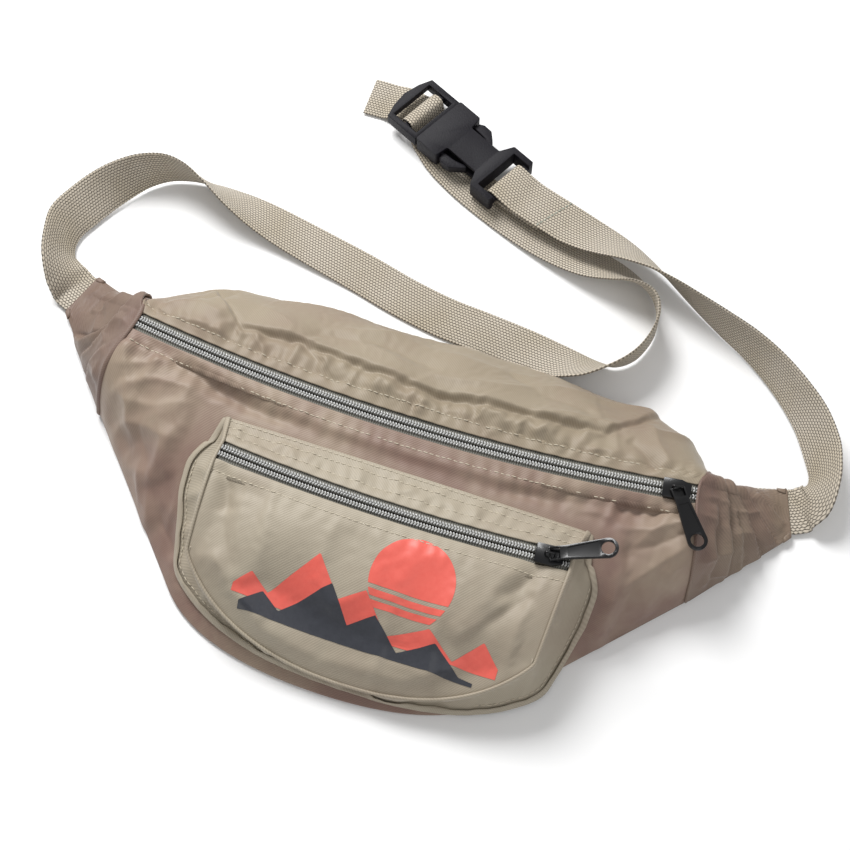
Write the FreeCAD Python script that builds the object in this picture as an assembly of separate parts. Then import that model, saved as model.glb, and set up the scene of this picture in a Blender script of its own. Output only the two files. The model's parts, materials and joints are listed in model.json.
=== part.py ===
"""Waist pack lying on its back: soft bag with two zips, hip wings, webbing belt and side release buckle.

Frame: millimetres, origin at the middle of the back panel's outer face, +X to the right-hand wing,
+Y to the top of the bag, +Z out through the front. One STEP file is written for each sub-part.
"""
import FreeCAD, Part
import math
import os

V = FreeCAD.Vector

# ---- driving sizes, millimetres ----
fabric = 0.8              # coated nylon with its lining
seam_gap = 0.3            # room left between sewn pieces
wing_gap = 0.8            # the same at the wings' rolled seams
webbing_width = 25.0
webbing_thick = 1.4

# bag body
zip_height = 40.0         # the main zip above the back panel's outer face
zip_y = 30.0              # the middle of the main zip
zip_chord = 297.0         # seam to seam
zip_sag = 11.0            # how far the middle of the zip hangs below its ends
seam_bottom = (159.0, 0.0)       # where a wing seam meets the bottom edge
flank_corner = (88.0, -77.0)     # where the straight flank turns into the round bottom
bottom_y = -103.0
top_y = 97.0
seam_top = (153.0, 64.0)         # where a wing seam meets the top edge
top_corner = (142.0, 95.0)
wing_tip_bottom = (201.0, 51.0)
wing_tip_top = (193.0, 75.0)

# zips: number 5 coil
coil_width = 2.7
coil_height = 2.0
coil_gap = 1.0            # between the two coils, where the slider's web passes
tape_thick = 0.6
tape_hidden = 2.0         # how much tape is sewn under the fabric
zip_window = 5.4          # half of the width left open between the folded edges

# sliders and pulls
slider_length = 14.0
slider_width = 10.2
slider_plate = 1.1
slider_clearance = 0.25
slider_from_end = 10.0    # middle of a closed slider to the end of its zip
bail_height = 3.4
bail_leg = 0.8
bail_width = 0.9
bail_span = 5.4
pull_length = 33.0
pull_width = 10.0
pull_neck = 7.0
pull_thick = 1.2
pull_hole = 6.6
pull_rim = 1.1
eye_bar = 0.8
eye_wide = 5.6
eye_long = 4.6
eye_rim = 0.8
main_pull_yaw = -62.0     # degrees from the zip's direction, seen from the front
main_pull_slope = 4.0    # degrees down from level
pocket_pull_yaw = 17.0
pocket_pull_slope = -10.0

# front pocket
pocket_x = 10.0
pocket_zip_y = -17.5
pocket_zip_rise = 2.0     # how far the pocket zip lies above the main zip
pocket_zip_height = zip_height + pocket_zip_rise
pocket_zip_chord = 180.0
pocket_zip_sag = 4.0
pocket_top_y = 6.0
pocket_top_half = 93.0
pocket_corner = (88.0, -64.0)    # lower corner of the face, from the pocket's middle
pocket_bottom_gap = 6.0   # from the bag's bottom edge to the pocket's
pocket_bottom_y = bottom_y + pocket_bottom_gap
pocket_bulge = 5.0
gusset_flare = 16.0       # how far the gusset's sewn edge lies outside the face's edge
gusset_head = 34.0        # length of the gusset's pointed upper ends

# buckle for the webbing
buckle_length = 83.0
buckle_side = 5.25        # what stands past the webbing on each side
buckle_width = webbing_width + 2 * buckle_side
buckle_thick = 10.0
buckle_wall = 2.2
female_length = 58.0
mouth_length = 16.0
ear_length = 17.0
waist_width = 19.0
slot_near = 4.5           # strap slot of the female part, from its end
slot_far = 12.0
latch_depth = 2.0         # how far an arm's shoulder reaches behind the mouth's wall
latch_play = 0.5
mouth_flare = 1.0         # how far the mouth's shoulders slope
arm_thick = 2.2
male_rail = 3.6
male_bar = 3.4
middle_bar_at = 68.0      # from the female end
tail_start = 45.4         # where the long strap is taken to leave the bag's own body
buckle_place = (3.5, 201.5)      # middle of the female end
buckle_heading = 153.3    # degrees, from the female end to the male end
buckle_floor = 4.2        # the underside of the buckle, which lies on the belt

# ---- helpers ----


def lerp(a, b, t):
    return a + (b - a) * t


def bezier(points, t):
    """Point at t on the Bezier curve with those control points."""
    level = [tuple(p) for p in points]
    while len(level) > 1:
        level = [tuple(lerp(p, q, t) for p, q in zip(a, b)) for a, b in zip(level, level[1:])]
    return level[0]


def spaced(count):
    """count shares from 0 to 1."""
    return [i / (count - 1) for i in range(count)]


def grid_normals(grid):
    """Unit normals of a grid of points, from its neighbours."""
    rows, cols = len(grid), len(grid[0])
    normals = []
    for i in range(rows):
        line = []
        for j in range(cols):
            along = grid[min(i + 1, rows - 1)][j] - grid[max(i - 1, 0)][j]
            across = grid[i][min(j + 1, cols - 1)] - grid[i][max(j - 1, 0)]
            normal = along.cross(across)
            if normal.Length < 1e-9:
                normal = V(0, 0, 1)
            line.append(normal.normalize())
        normals.append(line)
    return normals


def sheet(grid, thick, side=1.0):
    """A closed solid thick millimetres deep, whose outer face runs through the grid's points."""
    normals = grid_normals(grid)
    inner = [[p - n * (thick * side) for p, n in zip(r, m)] for r, m in zip(grid, normals)]
    faces, edges = [], []
    for points in (grid, inner):
        surface = Part.BSplineSurface()
        surface.interpolate(points)
        face = surface.toShape()
        faces.append(face)
        corners = [points[0][0], points[0][-1], points[-1][-1], points[-1][0]]
        rim = []
        for a, b in zip(corners, corners[1:] + corners[:1]):
            rim.append(min(face.Edges, key=lambda e: end_error(e, a, b)))
        edges.append(rim)
    for outer_edge, inner_edge in zip(*edges):
        faces.append(Part.makeRuledSurface(outer_edge, inner_edge))
    shell = Part.Shell(faces)
    shell.sewShape()
    solid = Part.Solid(shell)
    if solid.Volume < 0:
        solid.reverse()
    return solid


def end_error(edge, a, b):
    """How far an edge's ends are from two points, in either order."""
    p, q = edge.Vertexes[0].Point, edge.Vertexes[-1].Point
    return min((p - a).Length + (q - b).Length, (p - b).Length + (q - a).Length)


def box(x0, x1, y0, y1, z0, z1):
    return Part.makeBox(x1 - x0, y1 - y0, z1 - z0, V(x0, y0, z0))


def prism(outline, z0, z1):
    """Extrusion of a closed outline of (x, y) points."""
    points = [V(x, y, z0) for x, y in outline]
    return Part.Face(Part.makePolygon(points + points[:1])).extrude(V(0, 0, z1 - z0))


def cylinder(radius, z0, z1, x=0.0, y=0.0):
    return Part.makeCylinder(radius, z1 - z0, V(x, y, z0))


def fillet_vertical(solid, radius):
    """Rounds the edges that run along Z."""
    edges = [e for e in solid.Edges if len(e.Vertexes) == 2
             and abs(e.Vertexes[0].X - e.Vertexes[1].X) < 1e-6
             and abs(e.Vertexes[0].Y - e.Vertexes[1].Y) < 1e-6]
    return solid.makeFillet(radius, edges)


def placed(shape, x=0.0, y=0.0, z=0.0, yaw=0.0, pitch=0.0):
    """Pitches a shape about Y, turns it about Z, then moves it."""
    turned = shape.copy()
    turned.rotate(V(0, 0, 0), V(0, 1, 0), pitch)
    turned.rotate(V(0, 0, 0), V(0, 0, 1), yaw)
    turned.translate(V(x, y, z))
    return turned


# ---- lines of the bag ----


class ZipLine:
    """A zip that lies level along an arc, so that a hinge at the arc's centre moves its slider."""

    def __init__(self, x, y, z, chord, sag):
        self.radius = (chord ** 2 / 4 + sag ** 2) / (2 * sag)
        self.half_angle = math.asin(chord / 2 / self.radius)
        self.centre = V(x, y + self.radius, z)
        self.length = 2 * self.half_angle * self.radius

    def point(self, share, offset=0.0, lift=0.0):
        """share runs from -1 to 1 along the zip, and offset is outwards, towards the bottom of the bag."""
        angle = share * self.half_angle
        reach = self.radius + offset
        return self.centre + V(reach * math.sin(angle), -reach * math.cos(angle), lift)

    def slider_share(self):
        return 1 - slider_from_end / (self.length / 2)

    def heading(self, share):
        return math.degrees(share * self.half_angle)


main_zip = ZipLine(0.0, zip_y, zip_height, zip_chord, zip_sag)
pocket_zip = ZipLine(pocket_x, pocket_zip_y, pocket_zip_height, pocket_zip_chord, pocket_zip_sag)


def bottom_edge(share):
    """The bag's lower outline: a round bottom and two straight flanks. share runs from -1 to 1."""
    side = 1 if share >= 0 else -1
    run = abs(share)
    slope = (seam_bottom[1] - flank_corner[1]) / (seam_bottom[0] - flank_corner[0])
    pull = (flank_corner[0] - (flank_corner[1] - bottom_y) / slope, bottom_y)
    turn = 0.5
    if run < turn:
        x, y = bezier([(0.0, bottom_y), pull, flank_corner], run / turn)
    else:
        t = (run - turn) / (1 - turn)
        x, y = lerp(flank_corner[0], seam_bottom[0], t), lerp(flank_corner[1], seam_bottom[1], t)
    return side * x, y


def top_edge(share):
    """The bag's upper outline, from wing to wing."""
    side = 1 if share >= 0 else -1
    x, y = bezier([(0.0, top_y), (0.62 * top_corner[0], top_y), top_corner, seam_top], abs(share))
    return side * x, y


edge_lift = fabric + seam_gap      # the bag's front meets its back panel at this height
front_start = fabric + 0.5         # the folded edge's outer face above the zip tape


def front_fall(run, share):
    """Share of the zip's height left at run, 0 at the zip and 1 at the bottom edge."""
    start = lerp(0.5, 0.1, abs(share) ** 3)
    power = lerp(3.0, 4.5, abs(share) ** 3)
    return 1 - start * run - (1 - start) * run ** power


def front_point(share, run):
    """A point of the front panel's outer face."""
    top = main_zip.point(share, zip_window, front_start)
    bx, by = bottom_edge(share)
    z = lerp(edge_lift + fabric, top.z, front_fall(run, share))
    return V(lerp(top.x, bx, run), lerp(top.y, by, run), z)


def front_height(x, y):
    """Height of the front panel's outer face over a point of the plan."""
    share, run = x / seam_bottom[0], 0.5
    for _ in range(40):
        top = main_zip.point(share, zip_window)
        bx, by = bottom_edge(share)
        run = min(1.0, max(0.0, (y - top.y) / (by - top.y)))
        at = lerp(top.x, bx, run)
        if abs(at) > 1e-6:
            share = max(-1.0, min(1.0, share + (x - at) / seam_bottom[0]))
    return front_point(share, run).z


def top_point(share, run):
    """A point of the top panel's outer face, from the zip over to the back panel's top edge."""
    start = main_zip.point(share, -zip_window, front_start)
    ex, ey = top_edge(share)
    fall = (1 - run ** 2.6) ** 0.62 if run < 1 else 0.0
    z = lerp(edge_lift + fabric, start.z, fall)
    return V(lerp(start.x, ex, run), lerp(start.y, ey, run), z)


# ---- bag panels ----


def front_panel():
    grid = [[front_point(s * 2 - 1, r) for s in spaced(29)] for r in spaced(13)]
    return sheet(grid, fabric, side_of(grid))


def top_panel():
    grid = [[top_point(s * 2 - 1, r) for s in spaced(29)] for r in spaced(13)]
    return sheet(grid, fabric, side_of(grid))


def side_of(grid):
    """1 where the grid's normals already point up, so that the sheet's depth goes inwards."""
    rows, cols = len(grid), len(grid[0])
    normal = grid_normals(grid)[rows // 2][cols // 2]
    return 1.0 if normal.z > 0 else -1.0


def back_outline(inset=0.0):
    lower = [bottom_edge(s * 2 - 1) for s in spaced(41)]
    upper = [top_edge(1 - 2 * s) for s in spaced(41)]
    outline = lower + upper
    if inset:
        reach = max(math.hypot(x, y) for x, y in outline)
        outline = [(x * (1 - inset / reach), y * (1 - inset / reach)) for x, y in outline]
    return outline


def back_panel():
    return prism(back_outline(), 0.0, fabric)


def seam_binding():
    """Woven tape folded over the raw edges inside, all round the back panel."""
    wide, deep, inside = 5.0, 0.6, 4.0
    outer = prism(back_outline(inside), edge_lift, edge_lift + deep)
    return outer.cut(prism(back_outline(inside + wide), 0.0, zip_height))


# ---- hip wings ----


def wing_arch(count):
    """Evenly spaced points along the bag's right-hand end, from the bottom edge over the zip to the top."""
    line = [front_point(1.0, 1 - r) for r in spaced(60)] + [top_point(1.0, r) for r in spaced(40)]
    reach = [0.0]
    for a, b in zip(line, line[1:]):
        reach.append(reach[-1] + (b - a).Length)
    points, k = [], 0
    for share in spaced(count):
        target = share * reach[-1]
        while k < len(line) - 2 and reach[k + 1] < target:
            k += 1
        t = (target - reach[k]) / max(reach[k + 1] - reach[k], 1e-9)
        points.append(line[k] * (1 - t) + line[k + 1] * t)
    return points


def wing_point(start, out, run):
    """out is 0 at the seam and 1 at the tip, and run goes from the bottom of the wing to its top."""
    tip_x = lerp(wing_tip_bottom[0], wing_tip_top[0], run)
    tip_y = lerp(wing_tip_bottom[1], wing_tip_top[1], run)
    fall = (1 - out) ** 1.35
    height = lerp(wing_tip_height, start.z, fall)
    return V(lerp(start.x + wing_gap, tip_x, out), lerp(start.y, tip_y, out), height)


wing_tip_height = fabric + webbing_thick + fabric + 0.6


def wing_front():
    arch = wing_arch(17)
    grid = [[wing_point(start, o, r) for start, r in zip(arch, spaced(17))] for o in spaced(9)]
    return sheet(grid, fabric, side_of(grid))


def wing_back():
    outline = [(seam_bottom[0] + wing_gap, seam_bottom[1]), wing_tip_bottom, wing_tip_top,
               (seam_top[0] + wing_gap, seam_top[1])]
    return prism(outline, 0.0, fabric)


def mirrored(shape):
    return shape.mirror(V(0, 0, 0), V(1, 0, 0))


# ---- zips ----


def arc_strip(line, near, far, z0, z1):
    """A strip along the whole zip between two offsets from its middle."""
    a, b = line.point(-1, near), line.point(1, near)
    c, d = line.point(1, far), line.point(-1, far)
    edges = [Part.Arc(a, line.point(0, near), b).toShape(), Part.LineSegment(b, c).toShape(),
             Part.Arc(c, line.point(0, far), d).toShape(), Part.LineSegment(d, a).toShape()]
    face = Part.Face(Part.Wire(edges))
    face.translate(V(0, 0, z0))
    return face.extrude(V(0, 0, z1 - z0))


def zip_coil(line, side):
    """side is 1 for the coil nearer the bottom of the bag."""
    near, far = side * coil_gap / 2, side * (coil_gap / 2 + coil_width)
    return arc_strip(line, min(near, far), max(near, far), 0.0, coil_height)


def zip_tape(line, side):
    near, far = side * coil_gap / 2, side * (zip_window + tape_hidden)
    return arc_strip(line, min(near, far), max(near, far), -tape_thick, 0.0)


def slider_body():
    """Two plates round the chain, joined by a web between the coils. The zip's direction is +X."""
    half_length, half_width = slider_length / 2, slider_width / 2
    low = coil_height + slider_clearance
    shoulder = 0.62 * half_width
    outline = [(-half_length, -half_width), (half_length * 0.3, -half_width), (half_length, -shoulder),
               (half_length, shoulder), (half_length * 0.3, half_width), (-half_length, half_width)]
    top = fillet_vertical(prism(outline, low, low + slider_plate), 0.9)
    bottom = fillet_vertical(prism(outline, -tape_thick - slider_clearance - slider_plate,
                                   -tape_thick - slider_clearance), 0.9)
    inside = coil_gap / 2 + coil_width + slider_clearance
    flanges = [box(-half_length + 0.9, half_length * 0.3, y0, y1, slider_clearance, low + slider_plate / 2)
               for y0, y1 in ((-half_width, -inside), (inside, half_width))]
    web = box(0.5, half_length - 1.5, -coil_gap / 2 + 0.15, coil_gap / 2 - 0.15,
              -tape_thick - slider_clearance - slider_plate / 2, low + slider_plate / 2)
    return top.fuse([bottom, web] + flanges).removeSplitter()


def bail():
    """The arch on the slider that keeps the pull's eye."""
    base = coil_height + slider_clearance + slider_plate
    half = bail_span / 2
    outer = box(-half, half, -bail_width / 2, bail_width / 2, base, base + bail_height)
    edges = [e for e in outer.Edges
             if abs(e.BoundBox.YLength - bail_width) < 1e-6 and e.BoundBox.ZMin > base + 1]
    outer = outer.makeFillet(bail_leg * 1.4, edges)
    inside = box(-half + bail_leg, half - bail_leg, -bail_width, bail_width,
                 base, base + bail_height - bail_leg)
    return outer.cut(inside)


eye_height = coil_height + slider_clearance + slider_plate + 1.1


def pull():
    """Tab with an eye. The eye's cross bar lies at the origin and the tab runs along +X."""
    eye_half = eye_wide / 2 + eye_rim
    neck_at = eye_long + eye_bar + 2.6
    half = pull_width / 2
    tab = [(0.0, -eye_half), (eye_long + 1.0, -eye_half), (neck_at, -pull_neck / 2),
           (pull_length - half, -half), (pull_length - half, half), (neck_at, pull_neck / 2),
           (eye_long + 1.0, eye_half), (0.0, eye_half)]
    low, high = -pull_thick / 2, pull_thick / 2
    body = prism(tab, low, high).fuse(cylinder(half, low, high, pull_length - half))
    body = body.cut(cylinder(pull_hole / 2, low, high, pull_length - half))
    body = body.cut(box(-1.0, eye_long + eye_bar / 2, -eye_wide / 2, eye_wide / 2, low, high))
    body = body.cut(box(-1.0, eye_bar / 2, -eye_half - 1, eye_half + 1, low, high))
    bar = Part.makeCylinder(eye_bar / 2, 2 * eye_half, V(0, -eye_half, 0), V(0, 1, 0))
    ends = [box(0.0, eye_bar, y0, y1, -eye_bar / 2, eye_bar / 2)
            for y0, y1 in ((-eye_half, -eye_wide / 2), (eye_wide / 2, eye_half))]
    near, far = neck_at + 0.6, pull_length - pull_width + 0.4
    panel = prism([(near, -pull_neck / 2 + pull_rim), (far, -half + pull_rim), (far, half - pull_rim),
                   (near, pull_neck / 2 - pull_rim)], high - 0.4, high)
    return body.fuse([bar] + ends).removeSplitter().cut(panel)


def on_slider(shape, line):
    """Puts a shape made about a slider's middle where the closed slider stands."""
    share = line.slider_share()
    at = line.point(share)
    return placed(shape, at.x, at.y, at.z, line.heading(share))


def pull_axis(line, yaw):
    """The middle of a pull's cross bar, and the direction of its tab."""
    at = on_slider(Part.Vertex(V(0, 0, eye_height)), line).Point
    return at, line.heading(line.slider_share()) + yaw


def placed_pull(line, yaw, slope):
    at, turn = pull_axis(line, yaw)
    return placed(pull(), at.x, at.y, at.z, turn, slope)


# ---- front pocket ----


def pocket_top_seam(share):
    return V(pocket_x + share * pocket_top_half, pocket_top_y, 0)


def pocket_face_edge(run):
    """Outline of the pocket's face below its zip, from the left end of the zip (0) to the right end (1)."""
    side = -1 if run < 0.5 else 1
    t = abs(run - 0.5) * 2
    turn = 0.62
    end = pocket_zip.point(1, zip_window)
    if t < turn:
        pull_point = (0.72 * pocket_corner[0], pocket_bottom_y)
        x, y = bezier([(0.0, pocket_bottom_y), pull_point, pocket_corner], t / turn)
    else:
        k = (t - turn) / (1 - turn)
        x, y = lerp(pocket_corner[0], end.x - pocket_x, k), lerp(pocket_corner[1], end.y, k)
    return pocket_x + side * x, y


def pocket_depth(x, y):
    """How far the pocket's face stands in front of the bag's front panel."""
    across = min(1.0, abs(x - pocket_x) / (pocket_zip_chord / 2 + 4))
    down = min(1.0, max(0.0, (pocket_zip_y - y) / (pocket_zip_y - pocket_bottom_y)))
    rise = math.sin(math.pi * down ** 0.8)
    return pocket_bulge * max(0.0, rise) * (1 - across ** 4)


def pocket_face_height(x, y):
    """Height of the pocket's face."""
    below = pocket_zip_y - zip_window
    down = min(1.0, max(0.0, (below - y) / (below - pocket_bottom_y)))
    plane = lerp(pocket_zip_height + front_start, 11.0, down ** 1.6)
    return plane + pocket_depth(x, y)


def pocket_panel():
    grid = []
    for r in spaced(13):
        row = []
        for s in spaced(25):
            top = pocket_zip.point(s * 2 - 1, zip_window)
            start = 0.19
            edge_x, edge_y = pocket_face_edge(lerp(start, 1 - start, s))
            left, right = pocket_face_edge(start * r), pocket_face_edge(1 - start * r)
            lower_left, lower_right = pocket_face_edge(start), pocket_face_edge(1 - start)
            upper_left, upper_right = pocket_zip.point(-1, zip_window), pocket_zip.point(1, zip_window)
            x = lerp(top.x, edge_x, r) + lerp(left[0], right[0], s) - lerp(
                lerp(upper_left.x, upper_right.x, s), lerp(lower_left[0], lower_right[0], s), r)
            y = lerp(top.y, edge_y, r) + lerp(left[1], right[1], s) - lerp(
                lerp(upper_left.y, upper_right.y, s), lerp(lower_left[1], lower_right[1], s), r)
            row.append(V(x, y, pocket_face_height(x, y)))
        grid.append(row)
    return sheet(grid, fabric, side_of(grid))


def pocket_top_band():
    grid = [[band_point(s * 2 - 1, r) for s in spaced(25)] for r in spaced(5)]
    return sheet(grid, fabric, side_of(grid))


def band_point(share, run):
    """A point of the pocket's top band, from its zip up to the seam on the front panel."""
    low = pocket_zip.point(share, -zip_window, front_start)
    seam = pocket_top_seam(share)
    x, y = lerp(low.x, seam.x, run), lerp(low.y, seam.y, run)
    on_front = front_height(x, y) + seam_gap + fabric
    return V(x, y, max(lerp(low.z, on_front, run ** 1.5), on_front))


def gusset_face():
    """Points of the pocket's side edge: down the band, past the end of the zip, and round the face below."""
    heads = [[band_point(side, run) for run in (1.0, 0.66, 0.33, 0.0)] for side in (-1, 1)]
    count = 57
    face = [pocket_face_edge(k / (count - 1)) for k in range(count)]
    return heads[0] + [V(x, y, pocket_face_height(x, y)) for x, y in face] + heads[1][::-1]


def gusset_path():
    """Pairs of points round the pocket: on its side edge, and on the front panel outside it."""
    edge = gusset_face()
    pairs = []
    reach = [0.0]
    for a, b in zip(edge, edge[1:]):
        reach.append(reach[-1] + (b - a).Length)
    for k, point in enumerate(edge):
        along = edge[min(k + 1, len(edge) - 1)] - edge[max(k - 1, 0)]
        long = math.hypot(along.x, along.y)
        out = V(along.y / long, -along.x / long, 0)
        end = min(reach[k], reach[-1] - reach[k])
        side = abs(2 * reach[k] / reach[-1] - 1)
        flare = lerp(1.2, gusset_flare, min(1.0, side * 1.3) ** 2) * min(1.0, 0.2 + end / gusset_head)
        base = point + out * flare
        pairs.append((point + out * (fabric + seam_gap),
                      V(base.x, base.y, front_height(base.x, base.y) + seam_gap + fabric)))
    return pairs


def pocket_gusset():
    grid = [[face * (1 - r) + base * r for face, base in gusset_path()] for r in (0.0, 0.5, 1.0)]
    for row, r in zip(grid, (0.0, 0.5, 1.0)):
        for k, point in enumerate(row):
            floor = front_height(point.x, point.y) + seam_gap + fabric
            row[k] = V(point.x, point.y, max(point.z, floor))
    return sheet(grid, fabric * 0.8, side_of(grid))


# ---- belt ----


def strap(stations, width, thick, levels=None):
    """Flat webbing through stations of (x, y, height above the table, roll in degrees)."""
    centres = [V(x, y, z) for x, y, z, _ in stations]
    wires = []
    for k, (x, y, z, roll) in enumerate(stations):
        along = (centres[min(k + 1, len(centres) - 1)] - centres[max(k - 1, 0)]).normalize()
        level = levels[k] if levels else V(0, 0, 1).cross(along).normalize()
        up = along.cross(level)
        turn = math.radians(roll)
        across = level * math.cos(turn) + up * math.sin(turn)
        out = along.cross(across).normalize()
        centre = centres[k]
        corners = [centre + across * (a * width / 2) + out * (b * thick / 2)
                   for a, b in ((-1, -1), (1, -1), (1, 1), (-1, 1))]
        wires.append(Part.makePolygon(corners + corners[:1]))
    return Part.makeLoft(wires, True, True)


def smooth_stations(points, per_run=3):
    """Catmull-Rom points through the stations, so that the webbing bends in short steps."""
    out = []
    for k in range(len(points) - 1):
        p0, p1 = points[max(k - 1, 0)], points[k]
        p2, p3 = points[k + 1], points[min(k + 2, len(points) - 1)]
        for step in range(per_run):
            t = step / per_run
            out.append(tuple(
                0.5 * (2 * b + (c - a) * t + (2 * a - 5 * b + 4 * c - d) * t * t
                       + (3 * b - a - 3 * c + d) * t ** 3)
                for a, b, c, d in zip(p0, p1, p2, p3)))
    return out + [tuple(points[-1])]


def on_table(points):
    """Gives each (x, y, lift, roll) the height that its roll needs, so that no edge is below the table."""
    return [(x, y, lift + webbing_width / 2 * abs(math.sin(math.radians(roll))) + webbing_thick / 2, roll)
            for x, y, lift, roll in points]


# Long strap: left wing, round behind the bag, a turn on the right, and back under the buckle.
long_strap = [
    (-183, 58, 1.2, 0), (-192, 61.2, 1.2, 0), (-201, 64.6, 1.2, 0), (-204.5, 66.4, 1.2, 2),
    (-209.5, 70, 1.0, 27), (-216, 78, 0.5, 52),
    (-220, 89, 0.3, 58), (-221, 100, 0.3, 48), (-217, 112, 0.3, 40), (-211, 123, 0.3, 44),
    (-203, 133, 0.3, 56),
    (-193, 142, 0.3, 72), (-181, 148, 0.3, 86), (-169, 149, 0.3, 100), (-156, 147, 0.2, 118),
    (-141, 144, 0.1, 140), (-125, 141, 0.1, 158), (-106, 137, 0.1, 170), (-83, 132, 0.1, 176),
    (-58, 126.5, 0.1, 180), (-31, 119.5, 0.1, 180), (-7, 115, 0.1, 180), (15, 113, 0.1, 180),
    (39, 110.5, 0.1, 180), (59, 107.5, 0.2, 166), (75, 106.5, 0.3, 140), (88, 110.5, 0.3, 112),
    (98, 120, 0.3, 98), (103, 133, 0.3, 92), (103.5, 145, 0.3, 88), (99.5, 155, 0.3, 80),
    (90, 162.5, 0.3, 62),
    (75, 167.5, 0.2, 36), (55, 172, 0.1, 15), (31, 179, 0.1, 4), (5, 189, 0.1, 0), (-20, 200.5, 0.1, 0),
    (-39.8, 212.2, 0.2, 0),
]
# Short strap: right wing, round to the female part of the buckle.
short_strap = [
    (178, 59, 1.2, 0), (187, 61.5, 1.2, 0), (196, 64, 1.2, 0), (201, 66, 1.2, 0), (203.5, 67.6, 1.2, -4),
    (207, 71, 1.6, -30),
    (209, 78.5, 0.8, -54), (208.5, 88, 0.3, -60), (204, 100, 0.3, -53), (195, 114, 0.3, -56),
    (183, 126, 0.3, -64),
    (169, 137, 0.3, -71), (154, 146, 0.3, -78), (139, 153, 0.3, -86), (124, 160, 0.6, -96),
    (109, 167, 1.8, -108), (95, 173, 3.4, -122), (80, 178, 5.2, -140), (65, 182, 6.4, -158),
    (51, 185.3, 7.3, -172),
    (41.5, 187.8, 7.6, -179), (34.2, 190.1, 7.65, -180),
]


def buckle_point(along, across=0.0, z=0.0):
    """A point in the buckle's own frame: along runs from the female end to the male end."""
    heading = math.radians(buckle_heading)
    return V(buckle_place[0] + along * math.cos(heading) - across * math.sin(heading),
             buckle_place[1] + along * math.sin(heading) + across * math.cos(heading),
             buckle_floor + buckle_thick / 2 + z)


def strap_in_buckle(profile):
    """Webbing through points of (along, across, height, turn in plan) in the buckle's own frame."""
    stations = [(*buckle_point(along, across, z), 0.0) for along, across, z, _ in profile]
    levels = []
    for _, _, _, turn in profile:
        heading = math.radians(buckle_heading + turn)
        levels.append(V(-math.sin(heading), math.cos(heading), 0))
    return strap(stations, webbing_width, webbing_thick, levels)


def belt_tail():
    """The end of the long strap, up over the middle bar, down under the end bar and out."""
    mid = middle_bar_at + male_bar / 2
    over = bar_half + webbing_thick / 2 + 0.5
    table = webbing_thick / 2 + 0.2 - buckle_floor - buckle_thick / 2
    return strap_in_buckle([
        (tail_start, 9.0, table, -8), (52, 7.0, table, -11), (58, 5.0, table + 0.6, -11),
        (62.4, 2.2, table + 2.2, -8), (65, 1.0, table + 5.8, -3), (66.6, 0.4, over - 1.5, 0),
        (mid - 1.6, 0.2, over, 0), (mid + 1.6, 0.0, over, 0), (73.6, 0.0, over - 1.6, 0), (75, 0.0, -1.6, 1),
        (77, 0.0, -4.6, 3), (81, 0.6, -5.6, 7), (87, 2.0, -6.4, 14), (93, 4.4, table, 21),
        (99, 7.4, table, 25),
        (104, 10.0, table, 25),
    ])


def belt_sewn_loop():
    """The end of the short strap, round the female part's bar and sewn back on itself."""
    mid = slot_near / 2 + 0.2
    over = bar_half + webbing_thick / 2 + 0.35
    gap = webbing_thick / 2 + 0.15
    profile = [(-32, -3.6, -gap), (-22, -1.6, -gap), (-12, -0.4, -gap), (-6, 0, -over * 0.75),
               (mid - 1.5, 0, -over),
               (mid + 1.3, 0, -over), (slot_near + 1.3, 0, -over * 0.7), (slot_near + 1.8, 0, 0.0),
               (slot_near + 1.3, 0, over * 0.7), (mid + 1.3, 0, over), (mid - 1.5, 0, over),
               (-6, 0, over * 0.75),
               (-12, -0.4, gap), (-22, -1.6, gap), (-31, -3.4, gap)]
    return strap_in_buckle([(along, across, z, -2.5 * across) for along, across, z in profile])


# ---- buckle ----

bar_half = 1.6            # half height of the bars that carry webbing
cavity_half_width = buckle_width / 2 - 3.3
cavity_half_height = buckle_thick / 2 - buckle_wall
guide_width = 5.0
arm_root = female_length + 0.6
shoulder_at = female_length - mouth_length - mouth_flare / 2 - latch_play
arm_tip = 25.0


def buckle_female():
    half, waist, thick = buckle_width / 2, waist_width / 2, buckle_thick / 2
    mouth = female_length - mouth_length
    outline = [(0.0, -half), (ear_length - 2, -half), (ear_length + 2, -waist),
               (mouth - mouth_flare, -waist),
               (mouth, -half), (female_length, -half), (female_length, half), (mouth, half),
               (mouth - mouth_flare, waist), (ear_length + 2, waist), (ear_length - 2, half), (0.0, half)]
    body = prism(outline, -thick, thick)
    body = fillet_vertical(body, 1.2)
    cavity = box(ear_length + 2.5, female_length + 1, -cavity_half_width, cavity_half_width,
                 -cavity_half_height, cavity_half_height)
    body = body.cut(cavity)
    slot = box(slot_near, slot_far, -half + 3.4, half - 3.4, -thick, thick)
    thin_bar = [box(-1, slot_near, -half + 3.4, half - 3.4, z0, z1)
                for z0, z1 in ((-thick, -bar_half), (bar_half, thick))]
    return body.cut(slot).cut(thin_bar[0]).cut(thin_bar[1])


def arm_outline():
    """One latch arm in plan, on the side of +across: a springy beam and the button in the side window."""
    inner_wall = cavity_half_width - 0.5
    reach = inner_wall + latch_depth
    return [(arm_root, inner_wall - arm_thick), (arm_root, inner_wall), (shoulder_at + 1.0, inner_wall),
            (shoulder_at, inner_wall + 0.4), (shoulder_at, reach), (shoulder_at - 3.0, reach + 1.6),
            (shoulder_at - 8.5, reach + 1.4), (arm_tip + 3, inner_wall - 0.4), (arm_tip, inner_wall - 3.4),
            (arm_tip + 1.5, inner_wall - 4.6), (arm_tip + 8, inner_wall - 2.6),
            (shoulder_at - 3, inner_wall - arm_thick)]


def buckle_arm(side):
    height = cavity_half_height - 0.35
    arm = prism([(a, side * b) for a, b in arm_outline()], -height, height)
    return arm


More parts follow.
